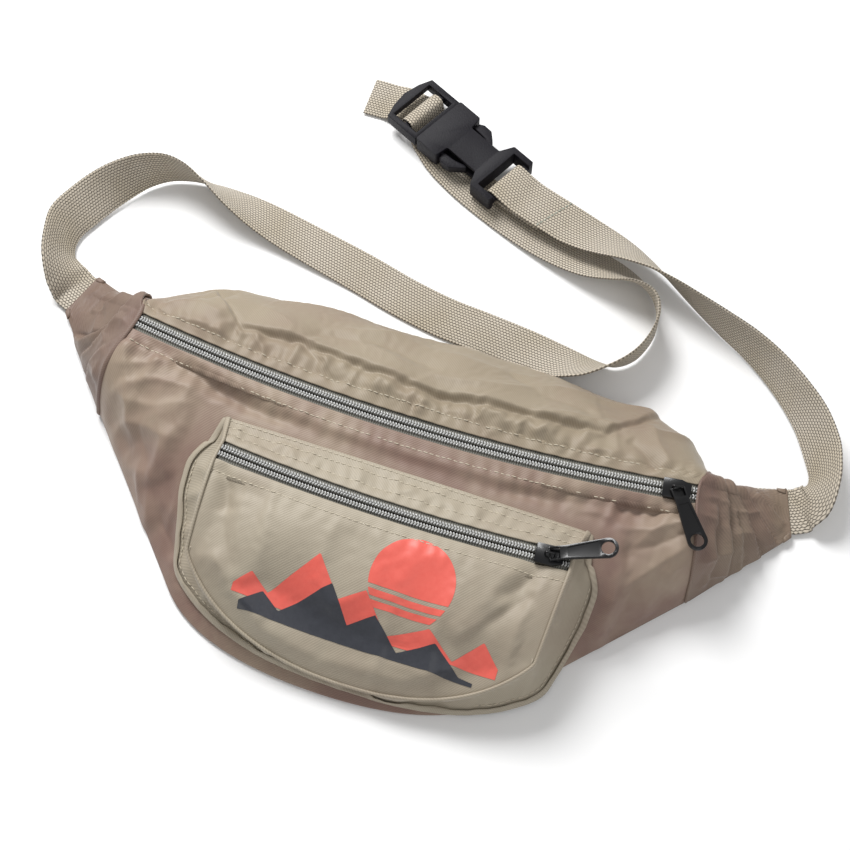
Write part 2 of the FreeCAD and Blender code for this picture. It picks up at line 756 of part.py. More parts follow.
def buckle_male():
    half, thick = buckle_width / 2, buckle_thick / 2 - 1.6
    start = female_length + 0.6
    bow = 2.5
    outer = [(start, -half), (buckle_length - 2, -half), (buckle_length + bow - 1.6, -half * 0.55),
             (buckle_length + bow, 0.0), (buckle_length + bow - 1.6, half * 0.55), (buckle_length - 2, half),
             (start, half)]
    frame = prism(outer, -thick, thick)
    opening_end = buckle_length - male_bar
    opening = box(start + 2.6, opening_end, -half + male_rail, half - male_rail, -thick, thick)
    frame = frame.cut(opening)
    bar = box(middle_bar_at, middle_bar_at + male_bar, -half + male_rail - 0.5, half - male_rail + 0.5,
              -bar_half, bar_half)
    under_end = box(opening_end - 0.1, buckle_length + bow + 1, -half + male_rail, half - male_rail,
                    -thick - 1, -0.9)
    guide = box(arm_tip + 6, start + 1.0, -guide_width / 2, guide_width / 2, -cavity_half_height + 0.4,
                cavity_half_height - 0.4)
    return frame.cut(under_end).fuse([bar, guide]).removeSplitter()


def in_buckle_frame(shape):
    origin = buckle_point(0)
    return placed(shape, origin.x, origin.y, origin.z, buckle_heading)


# ---- write the parts ----


def all_parts():
    wing_f, wing_b = wing_front(), wing_back()
    parts = {
        "back_panel": back_panel(),
        "front_panel": front_panel(),
        "top_panel": top_panel(),
        "seam_binding": seam_binding(),
        "right_wing_front": wing_f,
        "right_wing_back": wing_b,
        "left_wing_front": mirrored(wing_f),
        "left_wing_back": mirrored(wing_b),
        "main_tape_lower": zip_tape(main_zip, 1),
        "main_tape_upper": zip_tape(main_zip, -1),
        "main_coil_lower": zip_coil(main_zip, 1),
        "main_coil_upper": zip_coil(main_zip, -1),
        "main_slider": on_slider(slider_body(), main_zip),
        "main_slider_bail": on_slider(bail(), main_zip),
        "main_pull": placed_pull(main_zip, main_pull_yaw, main_pull_slope),
        "pocket_panel": pocket_panel(),
        "pocket_gusset": pocket_gusset(),
        "pocket_top_band": pocket_top_band(),
        "pocket_tape_lower": zip_tape(pocket_zip, 1),
        "pocket_tape_upper": zip_tape(pocket_zip, -1),
        "pocket_coil_lower": zip_coil(pocket_zip, 1),
        "pocket_coil_upper": zip_coil(pocket_zip, -1),
        "pocket_slider": on_slider(slider_body(), pocket_zip),
        "pocket_slider_bail": on_slider(bail(), pocket_zip),
        "pocket_pull": placed_pull(pocket_zip, pocket_pull_yaw, pocket_pull_slope),
        "belt_long": strap(smooth_stations(on_table(long_strap)), webbing_width, webbing_thick),
        "belt_tail": belt_tail(),
        "belt_short": strap(smooth_stations(on_table(short_strap)), webbing_width, webbing_thick),
        "belt_sewn_loop": belt_sewn_loop(),
        "buckle_female": in_buckle_frame(buckle_female()),
        "buckle_male": in_buckle_frame(buckle_male()),
        "buckle_arm_left": in_buckle_frame(buckle_arm(1)),
        "buckle_arm_right": in_buckle_frame(buckle_arm(-1)),
    }
    return parts


os.makedirs("parts", exist_ok=True)
for name, shape in all_parts().items():
    shape.exportStep(os.path.join("parts", name + ".step"))
    print(f"{name:20s} solids {len(shape.Solids)} valid {shape.isValid()} volume {shape.Volume:9.1f}")
for label, line in (("main zip", main_zip), ("pocket zip", pocket_zip)):
    travel = math.degrees((line.length - 2 * slider_from_end) / line.radius)
    print(label, "centre", [round(c, 3) for c in line.centre], "radius", round(line.radius, 3),
          "travel in degrees", round(travel, 3))
pulls = (("main pull", main_zip, main_pull_yaw), ("pocket pull", pocket_zip, pocket_pull_yaw))
for label, line, yaw in pulls:
    at, turn = pull_axis(line, yaw)
    print(label, "axis at", [round(c, 3) for c in at], "tab heading", round(turn, 3))
pivot = cavity_half_width - 0.5 - arm_thick / 2
for label, side in (("left", 1), ("right", -1)):
    print(label, "arm pivot", [round(c, 3) for c in buckle_point(arm_root, side * pivot)])
print("buckle heading", buckle_heading)
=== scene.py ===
import bpy
import bmesh
import json
import math
import numpy as np
from mathutils import Matrix, Vector, noise
from mathutils.bvhtree import BVHTree


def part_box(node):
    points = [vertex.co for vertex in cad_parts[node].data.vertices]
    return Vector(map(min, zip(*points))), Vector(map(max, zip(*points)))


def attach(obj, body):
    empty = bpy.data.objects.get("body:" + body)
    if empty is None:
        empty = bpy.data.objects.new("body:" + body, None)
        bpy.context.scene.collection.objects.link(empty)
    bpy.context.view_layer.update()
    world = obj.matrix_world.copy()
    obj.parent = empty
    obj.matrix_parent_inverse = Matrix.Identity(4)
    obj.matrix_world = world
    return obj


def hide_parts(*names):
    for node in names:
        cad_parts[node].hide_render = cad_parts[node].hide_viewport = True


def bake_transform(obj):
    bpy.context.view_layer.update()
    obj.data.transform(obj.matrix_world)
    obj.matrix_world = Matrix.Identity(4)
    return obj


# Waist pack on its back. Lengths are in millimetres until a mesh is made, and metres after that.
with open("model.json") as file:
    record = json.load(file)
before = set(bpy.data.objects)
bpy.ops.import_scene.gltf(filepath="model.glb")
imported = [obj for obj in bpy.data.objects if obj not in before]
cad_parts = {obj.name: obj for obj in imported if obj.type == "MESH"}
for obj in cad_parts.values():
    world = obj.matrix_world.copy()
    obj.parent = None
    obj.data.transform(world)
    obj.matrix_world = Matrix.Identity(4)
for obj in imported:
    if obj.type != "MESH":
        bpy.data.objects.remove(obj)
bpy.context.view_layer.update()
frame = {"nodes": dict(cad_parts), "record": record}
cadNodes = frame["nodes"]
joints = {joint["name"]: joint for joint in frame["record"]["behaviour"]["joints"]}
scene = bpy.context.scene
scene.view_settings.view_transform = "Standard"
print("frame loaded:", len(cadNodes), "CAD nodes")


# small helpers
def hexToLinear(text, alpha=1.0):
    channels = [int(text[i:i + 2], 16) / 255 for i in (1, 3, 5)]
    return [c / 12.92 if c <= 0.04045 else ((c + 0.055) / 1.055) ** 2.4 for c in channels] + [alpha]


def addNode(tree, kind, links=None, values=None, **settings):
    node = tree.nodes.new(kind)
    for name, value in settings.items():
        setattr(node, name, value)
    for key, value in (values or {}).items():
        node.inputs[key].default_value = value
    for key, socket in (links or {}).items():
        tree.links.new(socket, node.inputs[key])
    return node


def startMaterial(name, values):
    material = bpy.data.materials.new(name)
    material.use_nodes = True
    tree = material.node_tree
    shader = tree.nodes["Principled BSDF"]
    for key, value in values.items():
        shader.inputs[key].default_value = value
    return material, tree, shader


def boxMm(node):
    low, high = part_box(node)
    return np.array(low) * 1000, np.array(high) * 1000


def smooth(t):
    t = np.clip(t, 0, 1)
    return t * t * (3 - 2 * t)


def mix(a, b, t):
    return a + (b - a) * t


# the lines the bag is built on
bagSizes = {
    "fabric": 0.8, "edgeLift": 1.1, "frontStart": 1.3, "zipWindow": 5.4,
    "seamBottom": (159.0, 0.0), "flankCorner": (88.0, -77.0), "bottomY": -103.0,
    "seamTop": (153.0, 64.0), "topCorner": (142.0, 95.0), "topY": 97.0,
    "tipBottom": (201.0, 51.0), "tipTop": (193.0, 75.0), "tipHeight": 3.6, "wingGap": 0.8,
}


coilReach = 3.2  # from the middle of a zip to the far side of its coil


def zipLine(joint, tape):
    # the arc a slider follows: its centre is the joint, and its ends come from the tape's box
    centre = np.array(joints[joint]["pos_m"]) * 1000
    high = boxMm(tape)[1]
    coilLow, coilHigh = boxMm(tape.replace("tape", "coil"))
    radius = centre[1] - coilLow[1] - coilReach
    halfChord = (coilHigh[0] - coilLow[0]) / 2 * radius / (radius + coilReach)
    return {"centre": centre, "radius": radius, "half": math.asin(halfChord / radius), "z": high[2]}


mainZip = zipLine("main_zip", "main_tape_lower")
pocketZip = zipLine("pocket_zip", "pocket_tape_lower")


def zipPoint(line, share, offset=0.0, lift=0.0):
    angle = np.asarray(share) * line["half"]
    reach = line["radius"] + offset
    x = line["centre"][0] + reach * np.sin(angle)
    y = line["centre"][1] - reach * np.cos(angle)
    return np.stack([x, y, np.full_like(x, line["z"] + lift)], -1)


def bezier(points, t):
    level = [np.array(p, float)[None, :] + 0 * t[:, None] for p in points]
    while len(level) > 1:
        level = [mix(a, b, t[:, None]) for a, b in zip(level, level[1:])]
    return level[0]


def bottomEdge(share):
    s = bagSizes
    run, side = np.abs(share), np.where(share < 0, -1.0, 1.0)
    corner, end = np.array(s["flankCorner"]), np.array(s["seamBottom"])
    slope = (end[1] - corner[1]) / (end[0] - corner[0])
    pull = (corner[0] - (corner[1] - s["bottomY"]) / slope, s["bottomY"])
    curve = bezier([(0, s["bottomY"]), pull, corner], np.clip(run / 0.5, 0, 1))
    straight = mix(corner[None, :], end[None, :], np.clip(run / 0.5 - 1, 0, 1)[:, None])
    xy = np.where((run < 0.5)[:, None], curve, straight)
    return xy * np.stack([side, np.ones_like(side)], -1)


def topEdge(share):
    s = bagSizes
    side = np.where(share < 0, -1.0, 1.0)
    corner = s["topCorner"]
    xy = bezier([(0, s["topY"]), (0.62 * corner[0], s["topY"]), corner, s["seamTop"]], np.abs(share))
    return xy * np.stack([side, np.ones_like(side)], -1)


def frontFall(run, share):
    edge = np.abs(share) ** 3
    start, power = mix(0.5, 0.1, edge), mix(3.0, 4.5, edge)
    return 1 - start * run - (1 - start) * run ** power


def frontPoint(share, run):
    s = bagSizes
    top = zipPoint(mainZip, share, s["zipWindow"], s["frontStart"])
    end = bottomEdge(share)
    z = mix(s["edgeLift"] + s["fabric"], top[:, 2], frontFall(run, share))
    return np.stack([mix(top[:, 0], end[:, 0], run), mix(top[:, 1], end[:, 1], run), z], -1)


def topPoint(share, run):
    s = bagSizes
    top = zipPoint(mainZip, share, -s["zipWindow"], s["frontStart"])
    end = topEdge(share)
    z = mix(s["edgeLift"] + s["fabric"], top[:, 2], np.clip(1 - run ** 2.6, 0, 1) ** 0.62)
    return np.stack([mix(top[:, 0], end[:, 0], run), mix(top[:, 1], end[:, 1], run), z], -1)


def gridOf(pointAt, shares, runs):
    return np.stack([pointAt(shares, np.full_like(shares, r)) for r in runs])


# making meshes
def meshObject(name, vertices, faces, material):
    mesh = bpy.data.meshes.new(name)
    mesh.from_pydata([tuple(v) for v in np.asarray(vertices) * 0.001], [], faces)
    mesh.update()
    obj = bpy.data.objects.new(name, mesh)
    scene.collection.objects.link(obj)
    mesh.materials.append(material)
    for polygon in mesh.polygons:
        polygon.use_smooth = True
    return obj


def gridFaces(rows, cols, last):
    # the last of the columns is joined to the first where last equals cols
    return [(i * cols + j, i * cols + (j + 1) % cols, (i + 1) * cols + (j + 1) % cols, (i + 1) * cols + j)
            for i in range(rows - 1) for j in range(last)]


def heightTo(grid):
    # distance of each row from the first row, along the cloth
    steps = np.linalg.norm(np.diff(grid, axis=0), axis=2)
    return np.cumsum(np.concatenate([np.zeros((1, grid.shape[1])), steps]), 0)


def clothMap(obj, uvMm):
    # the weave's own map, in metres
    layer = obj.data.uv_layers.new(name="cloth")
    loops = np.array([loop.vertex_index for loop in obj.data.loops])
    layer.data.foreach_set("uv", (uvMm * 0.001)[loops].astype(np.float32).ravel())


def gridObject(name, grid, material, closed=False, cut=None):
    rows, cols = grid.shape[:2]
    last = cols if closed else cols - 1
    faces = gridFaces(rows, cols, last)
    middle = grid[rows // 2:rows // 2 + 2, cols // 2:cols // 2 + 2]
    normal = np.cross(middle[0, 1] - middle[0, 0], middle[1, 0] - middle[0, 0])
    if normal[2] < 0:
        faces = [face[::-1] for face in faces]
    obj = meshObject(name, grid.reshape(-1, 3), faces, material)
    # the weave is measured on the cloth before it was creased, so that it stays even
    grid = grid if cut is None else cut
    across = heightTo(grid.swapaxes(0, 1)).T
    across = across - across[:, cols // 2][:, None]
    clothMap(obj, np.stack([across.ravel(), heightTo(grid).ravel()], -1))
    return obj


def applyModifiers(obj):
    bpy.context.view_layer.update()
    evaluated = obj.evaluated_get(bpy.context.evaluated_depsgraph_get())
    mesh = bpy.data.meshes.new_from_object(evaluated)
    old = obj.data
    obj.modifiers.clear()
    obj.data = mesh
    mesh.name = obj.name
    if old.users == 0:
        bpy.data.meshes.remove(old)
    return obj


def readPoints(obj):
    co = np.empty(len(obj.data.vertices) * 3, np.float32)
    obj.data.vertices.foreach_get("co", co)
    return co.reshape(-1, 3).astype(float) * 1000


def writePoints(obj, points):
    obj.data.vertices.foreach_set("co", (np.asarray(points) * 0.001).astype(np.float32).ravel())
    obj.data.update()


def closeShape(obj):
    # fills any open end and turns every face outwards
    shape = bmesh.new()
    shape.from_mesh(obj.data)
    bmesh.ops.holes_fill(shape, edges=[e for e in shape.edges if e.is_boundary], sides=0)
    bmesh.ops.recalc_face_normals(shape, faces=shape.faces)
    shape.to_mesh(obj.data)
    shape.free()


def addSubdivision(obj, level):
    smoother = obj.modifiers.new("smooth", "SUBSURF")
    smoother.levels = smoother.render_levels = level


# materials
def waveScale(mm):
    return 0.32 / (mm * 0.001)  # a wave texture's scale for bands that far apart


def nylon(name, clean, worn, wornShare, seed):
    # coated twill nylon: fine diagonal ribs that shine softly along the thread, browned in patches with age
    material, tree, shader = startMaterial(name, {"Roughness": 0.56, "IOR": 1.53, "Sheen Weight": 0.12,
                                                  "Sheen Roughness": 0.4, "Specular IOR Level": 0.42})
    place = addNode(tree, "ShaderNodeTexCoord")
    clouds = addNode(tree, "ShaderNodeTexNoise", {"Vector": place.outputs["Object"]},
                     {"Scale": 11.0, "Detail": 5.0, "Roughness": 0.62, "Distortion": 0.5, "W": seed},
                     noise_dimensions="4D")
    spread = addNode(tree, "ShaderNodeMapRange", {"Value": clouds.outputs[0]},
                     {"From Min": 0.62 - wornShare * 0.4, "From Max": 0.85 - wornShare * 0.4})
    colour = addNode(tree, "ShaderNodeMix", {0: spread.outputs[0]},
                     {6: hexToLinear(clean), 7: hexToLinear(worn)}, data_type="RGBA")
    flow = addNode(tree, "ShaderNodeUVMap", uv_map="cloth")
    # real ribs are about 0.4 mm apart, and these are drawn at 0.8 mm so that they show
    ribs = addNode(tree, "ShaderNodeTexWave", {"Vector": flow.outputs[0]},
                   {"Scale": waveScale(0.8), "Distortion": 0.25, "Detail": 1.0, "Detail Scale": 6.0},
                   bands_direction="DIAGONAL")
    shade = addNode(tree, "ShaderNodeMapRange", {"Value": ribs.outputs[1]},
                    {"To Min": 0.88, "To Max": 1.04})
    tone = addNode(tree, "ShaderNodeMix", {6: colour.outputs[2], 7: shade.outputs[0]}, {0: 1.0},
                   data_type="RGBA", blend_type="MULTIPLY")
    tree.links.new(tone.outputs[2], shader.inputs["Base Color"])
    bump = addNode(tree, "ShaderNodeBump", {"Height": ribs.outputs[1]},
                   {"Strength": 0.2, "Distance": 0.0003})
    tree.links.new(bump.outputs[0], shader.inputs["Normal"])
    return material


bagNylon = nylon("agedTwillNylon", "#9A8977", "#80675C", 0.6, 1.0)
wingNylon = nylon("wingTwillNylon", "#7F6F5F", "#70594F", 0.65, 4.0)
topNylon = nylon("topTwillNylon", "#958874", "#8B7868", 0.5, 7.0)
pocketNylon = nylon("pocketTwillNylon", "#A69C8A", "#9A8D7C", 0.35, 11.0)


loopSize = {"wide": 0.00156, "long": 0.0018}  # metres, a little coarser than real so that the loops show


def webbing():
    # flat woven polypropylene belt: rows of fat yarn loops with dark pinholes between them
    material, tree, shader = startMaterial("wovenWebbing", {"Roughness": 0.72, "IOR": 1.49,
                                                            "Sheen Weight": 0.1})
    flow = addNode(tree, "ShaderNodeUVMap", uv_map="cloth")
    split = addNode(tree, "ShaderNodeSeparateXYZ", {0: flow.outputs[0]})
    # u runs along the belt and v across it, and each row of loops is shifted by half a loop
    across = addNode(tree, "ShaderNodeMath", {0: split.outputs[1]}, {1: 1 / loopSize["wide"]},
                     operation="MULTIPLY")
    row = addNode(tree, "ShaderNodeMath", {0: across.outputs[0]}, operation="FLOOR")
    odd = addNode(tree, "ShaderNodeMath", {0: row.outputs[0]}, {1: 2.0}, operation="FLOORED_MODULO")
    along = addNode(tree, "ShaderNodeMath", {0: split.outputs[0]}, {1: 1 / loopSize["long"]},
                    operation="MULTIPLY")
    shifted = addNode(tree, "ShaderNodeMath", {0: odd.outputs[0], 2: along.outputs[0]}, {1: 0.5},
                      operation="MULTIPLY_ADD")
    waves = []
    for source in (across, shifted):
        part = addNode(tree, "ShaderNodeMath", {0: source.outputs[0]}, operation="FRACT")
        centred = addNode(tree, "ShaderNodeMath", {0: part.outputs[0]}, {1: 0.5},
                          operation="SUBTRACT")
        waves.append(addNode(tree, "ShaderNodeMath", {0: centred.outputs[0]}, operation="ABSOLUTE"))
    far = addNode(tree, "ShaderNodeMath", {0: waves[0].outputs[0], 1: waves[1].outputs[0]},
                  operation="ADD")
    hump = addNode(tree, "ShaderNodeMapRange", {"Value": far.outputs[0]},
                   {"From Min": 0.42, "From Max": 0.85, "To Min": 1.0, "To Max": 0.0})
    fibres = addNode(tree, "ShaderNodeTexNoise", {"Vector": flow.outputs[0]},
                     {"Scale": 900.0, "Detail": 2.0})  # fibres about 1 mm long in the yarn
    height = addNode(tree, "ShaderNodeMath", {0: fibres.outputs[0], 2: hump.outputs[0]}, {1: 0.25},
                     operation="MULTIPLY_ADD")
    age = addNode(tree, "ShaderNodeTexNoise", {"Vector": flow.outputs[0]}, {"Scale": 28.0, "Detail": 3.0})
    ageShare = addNode(tree, "ShaderNodeMapRange", {"Value": age.outputs[0]},
                       {"From Min": 0.4, "From Max": 0.75})
    yarn = addNode(tree, "ShaderNodeMix", {0: ageShare.outputs[0]},
                   {6: hexToLinear("#C6BCAC"), 7: hexToLinear("#B8AC96")}, data_type="RGBA")
    colour = addNode(tree, "ShaderNodeMix", {0: hump.outputs[0], 7: yarn.outputs[2]},
                     {6: hexToLinear("#4F473C")}, data_type="RGBA")
    tree.links.new(colour.outputs[2], shader.inputs["Base Color"])
    bump = addNode(tree, "ShaderNodeBump", {"Height": height.outputs[0]},
                   {"Strength": 0.9, "Distance": 0.0006})
    tree.links.new(bump.outputs[0], shader.inputs["Normal"])
    return material


beltWebbing = webbing()


def zipTapeCloth():
    # woven polyester zip tape: tight ribs across it, dull and dark grey
    material, tree, shader = startMaterial("zipTapePolyester", {"Roughness": 0.8, "IOR": 1.55,
                                                                "Sheen Weight": 0.1})
    place = addNode(tree, "ShaderNodeTexCoord")
    ribs = addNode(tree, "ShaderNodeTexWave", {"Vector": place.outputs["Object"]},
                   {"Scale": waveScale(1.2), "Distortion": 0.5}, bands_direction="X")
    colour = addNode(tree, "ShaderNodeMix", {0: ribs.outputs[1]},
                     {6: hexToLinear("#57564F"), 7: hexToLinear("#86847C")}, data_type="RGBA")
    tree.links.new(colour.outputs[2], shader.inputs["Base Color"])
    bump = addNode(tree, "ShaderNodeBump", {"Height": ribs.outputs[1]},
                   {"Strength": 0.4, "Distance": 0.0002})
    tree.links.new(bump.outputs[0], shader.inputs["Normal"])
    return material


def plainFinish(name, values, colour, speckle, size, strength):
    # a moulded or coated surface with a fine grain, so that its highlights break up
    material, tree, shader = startMaterial(name, values)
    place = addNode(tree, "ShaderNodeTexCoord")
    grain = addNode(tree, "ShaderNodeTexNoise", {"Vector": place.outputs["Object"]},
                    {"Scale": 1 / size, "Detail": 3.0, "Roughness": 0.6})
    tone = addNode(tree, "ShaderNodeMix", {0: grain.outputs[0]},
                   {6: hexToLinear(colour), 7: hexToLinear(speckle)}, data_type="RGBA")
    tree.links.new(tone.outputs[2], shader.inputs["Base Color"])
    bump = addNode(tree, "ShaderNodeBump", {"Height": grain.outputs[0]},
                   {"Strength": strength, "Distance": 0.0002})
    tree.links.new(bump.outputs[0], shader.inputs["Normal"])
    return material


zipTape = zipTapeCloth()
# drawn monofilament: smooth, pale grey, small sharp glints
coilNylon = plainFinish("coilNylon", {"Roughness": 0.32, "IOR": 1.53, "Coat Weight": 0.2},
                        "#A9AAAB", "#D8D8D5", 0.003, 0.05)
# stoved enamel over a zinc casting: deep black and glossy
blackEnamel = plainFinish("blackEnamel", {"Roughness": 0.3, "IOR": 1.45, "Coat Weight": 0.35,
                                          "Coat Roughness": 0.14, "Specular IOR Level": 0.3},
                          "#070708", "#101012", 0.004, 0.06)
# moulded acetal: blue-black, satin, faintly grained
acetal = plainFinish("mouldedAcetal", {"Roughness": 0.52, "IOR": 1.48, "Specular IOR Level": 0.2},
                     "#0A090D", "#1D1B22", 0.0008, 1.0)
# spun polyester thread: dull and slightly hairy, the second one greener
thread = plainFinish("sewingThread", {"Roughness": 0.6, "IOR": 1.5, "Sheen Weight": 0.2},
                     "#B3A995", "#C8BEAA", 0.0015, 0.1)
tackThread = plainFinish("greenTackThread", {"Roughness": 0.6, "IOR": 1.5, "Sheen Weight": 0.2},
                         "#8E9388", "#A3A698", 0.0015, 0.1)
# woven binding tape over the bottom seam: dull, slightly uneven
bindingCloth = plainFinish("bindingTape", {"Roughness": 0.8, "IOR": 1.5},
                           "#8F8572", "#A0957F", 0.0012, 0.2)
print("materials made")


# cloth surfaces
def unit(v):
    return v / np.maximum(np.linalg.norm(v, axis=-1, keepdims=True), 1e-9)


def lengthAlong(line):
    return np.r_[0, np.cumsum(np.linalg.norm(np.diff(line, axis=0), axis=1))]


def atLengths(line, reach, target):
    return np.stack([np.interp(target, reach, column) for column in line.T], -1)


def normalsOf(grid):
    down = np.gradient(grid, axis=0)
    across = np.gradient(grid, axis=1)
    normal = unit(np.cross(across, down))
    flip = -1 if normal[grid.shape[0] // 2, grid.shape[1] // 2, 2] < 0 else 1
    return normal * flip


def turnUnder(grid, edge, radius, tuck):
    # the raw edge is folded under: four short rows round a bend, then a row beneath
    if edge in ("left", "right"):
        turned = turnUnder(grid.transpose(1, 0, 2), {"left": "first", "right": "last"}[edge], radius, tuck)
        return turned.transpose(1, 0, 2)
    ordered = grid[::-1] if edge == "first" else grid
    normal = normalsOf(ordered)[-2]
    end, ahead = ordered[-1], unit(ordered[-1] - ordered[-3])
    normal = unit(normal - ahead * (normal * ahead).sum(-1, keepdims=True))
    rows = [end + ahead * radius * math.sin(a) + normal * radius * (math.cos(a) - 1)
            for a in (0.25 * math.pi, 0.5 * math.pi, 0.75 * math.pi, math.pi)]
    rows.append(rows[-1] - ahead * tuck)
    joined = np.concatenate([ordered, np.stack(rows)])
    return joined[::-1] if edge == "first" else joined


def resampleRows(grid, pitch):
    # rows evenly spaced along the cloth
    reach = np.concatenate([[0], np.cumsum(np.linalg.norm(np.diff(grid, axis=0), axis=2).mean(1))])
    count = max(4, int(round(reach[-1] / pitch)) + 1)
    target = np.linspace(0, reach[-1], count)
    k = np.clip(np.searchsorted(reach, target, side="right") - 1, 0, len(reach) - 2)
    t = ((target - reach[k]) / (reach[k + 1] - reach[k]))[:, None, None]
    return grid[k] * (1 - t) + grid[k + 1] * t


def nearLine(xy, points):
    # signed distance to a line, positive on its left, and 1 along it fading to 0 at its two ends
    nearest, shareAt, left = np.full(len(xy), 1e9), np.zeros(len(xy)), np.ones(len(xy))
    spans = [np.hypot(b[0] - a[0], b[1] - a[1]) for a, b in zip(points, points[1:])]
    start = 0.0
    for a, b, span in zip(points, points[1:], spans):
        a, ahead = np.array(a, float), np.subtract(b, a).astype(float)
        t = np.clip(((xy - a) @ ahead) / span ** 2, 0, 1)
        off = xy - (a + t[:, None] * ahead)
        away = np.linalg.norm(off, axis=1)
        closer = away < nearest
        nearest = np.where(closer, away, nearest)
        left = np.where(closer, np.sign(ahead[0] * off[:, 1] - ahead[1] * off[:, 0] + 1e-9), left)
        shareAt = np.where(closer, (start + t * span) / sum(spans), shareAt)
        start += span
    return nearest * left, smooth(np.minimum(shareAt, 1 - shareAt) / 0.16 + 0.1)


def creaseField(xy, lines):
    # each line is (points, half width, height, sharpness): a ridge, or a crease if the height is negative
    total = np.zeros(len(xy))
    for points, width, height, *sharp in lines:
        away, ends = nearLine(xy, points)
        total += height * np.exp(-(np.abs(away) / width) ** (sharp[0] if sharp else 1.25)) * ends
    return total


def lapField(xy, lines):
    # each line is (points, width, height): cloth folded over on the line's left, sharp on its right
    total = np.zeros(len(xy))
    for points, width, height in lines:
        away, ends = nearLine(xy, points)
        total += height * ends * np.exp(-np.maximum(away, 0) / width) * smooth(away / 1.5 + 0.5)
        total -= 0.35 * height * ends * np.exp(-((away + 1.2) / 1.4) ** 2)
    return total


def wrinkles(points, size, stretch, heading, depth, seed):
    # crisp ridges of about that size, drawn out along a heading in degrees
    c, d = math.cos(math.radians(heading)), math.sin(math.radians(heading))
    out = []
    for x, y, z in points:
        along, across = (x * c + y * d) / (size * stretch), (y * c - x * d) / size
        value = noise.noise(Vector((along + seed, across, z / size * 0.5)))
        out.append((1 - min(1, abs(value) * 2.6)) ** 2)
    return depth * np.array(out)


def lumps(points, size, depth, seed):
    return depth * np.array([noise.noise(Vector(p) / size + Vector((seed, seed * 0.7, 0))) for p in points])


def puckers(points, spacing, seed):
    # uneven gathers along a row of stitches
    wander = lumps(points, spacing * 4, 2.2, seed)
    strength = 0.65 + lumps(points, spacing * 6, 0.7, seed + 3)
    return np.sin(2 * math.pi * points[:, 0] / spacing + wander * 2.4) * strength


def finishCloth(obj, thick=0.45, level=1):
    if level:
        addSubdivision(obj, level)
    wall = obj.modifiers.new("wall", "SOLIDIFY")
    wall.thickness = thick * 0.001
    wall.offset = -1
    return applyModifiers(obj)


clothSizes = {"tension": 8.0, "bending": 4.0, "mass": 0.12, "frames": 14, "furthest": 5.0}


def settle(obj, hold, grow):
    # cloth cut a little too big for the seams that hold it creases by itself
    frames = clothSizes["frames"]
    group = obj.vertex_groups.new(name="hold")
    for index, weight in enumerate(hold):
        group.add([index], float(weight), "REPLACE")
    cloth = obj.modifiers.new("cloth", "CLOTH")
    made = cloth.settings
    made.quality = 6
    made.mass = clothSizes["mass"]
    made.tension_stiffness = made.compression_stiffness = clothSizes["tension"]
    made.shear_stiffness = clothSizes["tension"] * 0.5
    made.bending_stiffness = clothSizes["bending"]
    made.vertex_group_mass = "hold"
    made.pin_stiffness = 1.0
    made.shrink_min = -grow
    made.effector_weights.gravity = 0
    cloth.collision_settings.use_collision = False
    cloth.point_cache.frame_start = 1
    cloth.point_cache.frame_end = frames
    for step in range(1, frames + 1):
        scene.frame_set(step)
    rest = readPoints(obj)
    applyModifiers(obj)
    scene.frame_set(1)
    obj.vertex_groups.clear()
    moved = readPoints(obj) - rest
    far = np.linalg.norm(moved, axis=1, keepdims=True)
    writePoints(obj, rest + moved * np.minimum(1, clothSizes["furthest"] / np.maximum(far, 1e-6)))


def edgeFade(grid, mm):
    # 0 at the panel's border and 1 from that far inside it
    down = np.cumsum(np.r_[0, np.linalg.norm(np.diff(grid, axis=0), axis=2).mean(1)])
    across = np.cumsum(np.r_[0, np.linalg.norm(np.diff(grid, axis=1), axis=2).mean(0)])
    a = np.minimum(down, down[-1] - down)[:, None]
    b = np.minimum(across, across[-1] - across)[None, :]
    return smooth(np.minimum(a, b) / mm)


def onTheTable(grid, floor):
    grid[..., 2] = np.maximum(grid[..., 2], floor)
    return grid


panelSizes = {"pitch": 2.3, "finePitch": 1.5, "stitchFromEdge": 6.0, "puckerSpacing": 8.5,
              "stitchDepth": 0.45}


def topstitch(grid, fromEdge, depth, spacing, seed, gather=0.55):
    # a row of stitches draws the cloth down, and the cloth beside it gathers
    away = heightTo(grid) - fromEdge
    flat = grid.reshape(-1, 3)
    wave = puckers(flat, spacing, seed).reshape(away.shape)
    return -depth * np.exp(-(away / 1.3) ** 2) + gather * wave * np.exp(-((away - 2) / 6.5) ** 2)


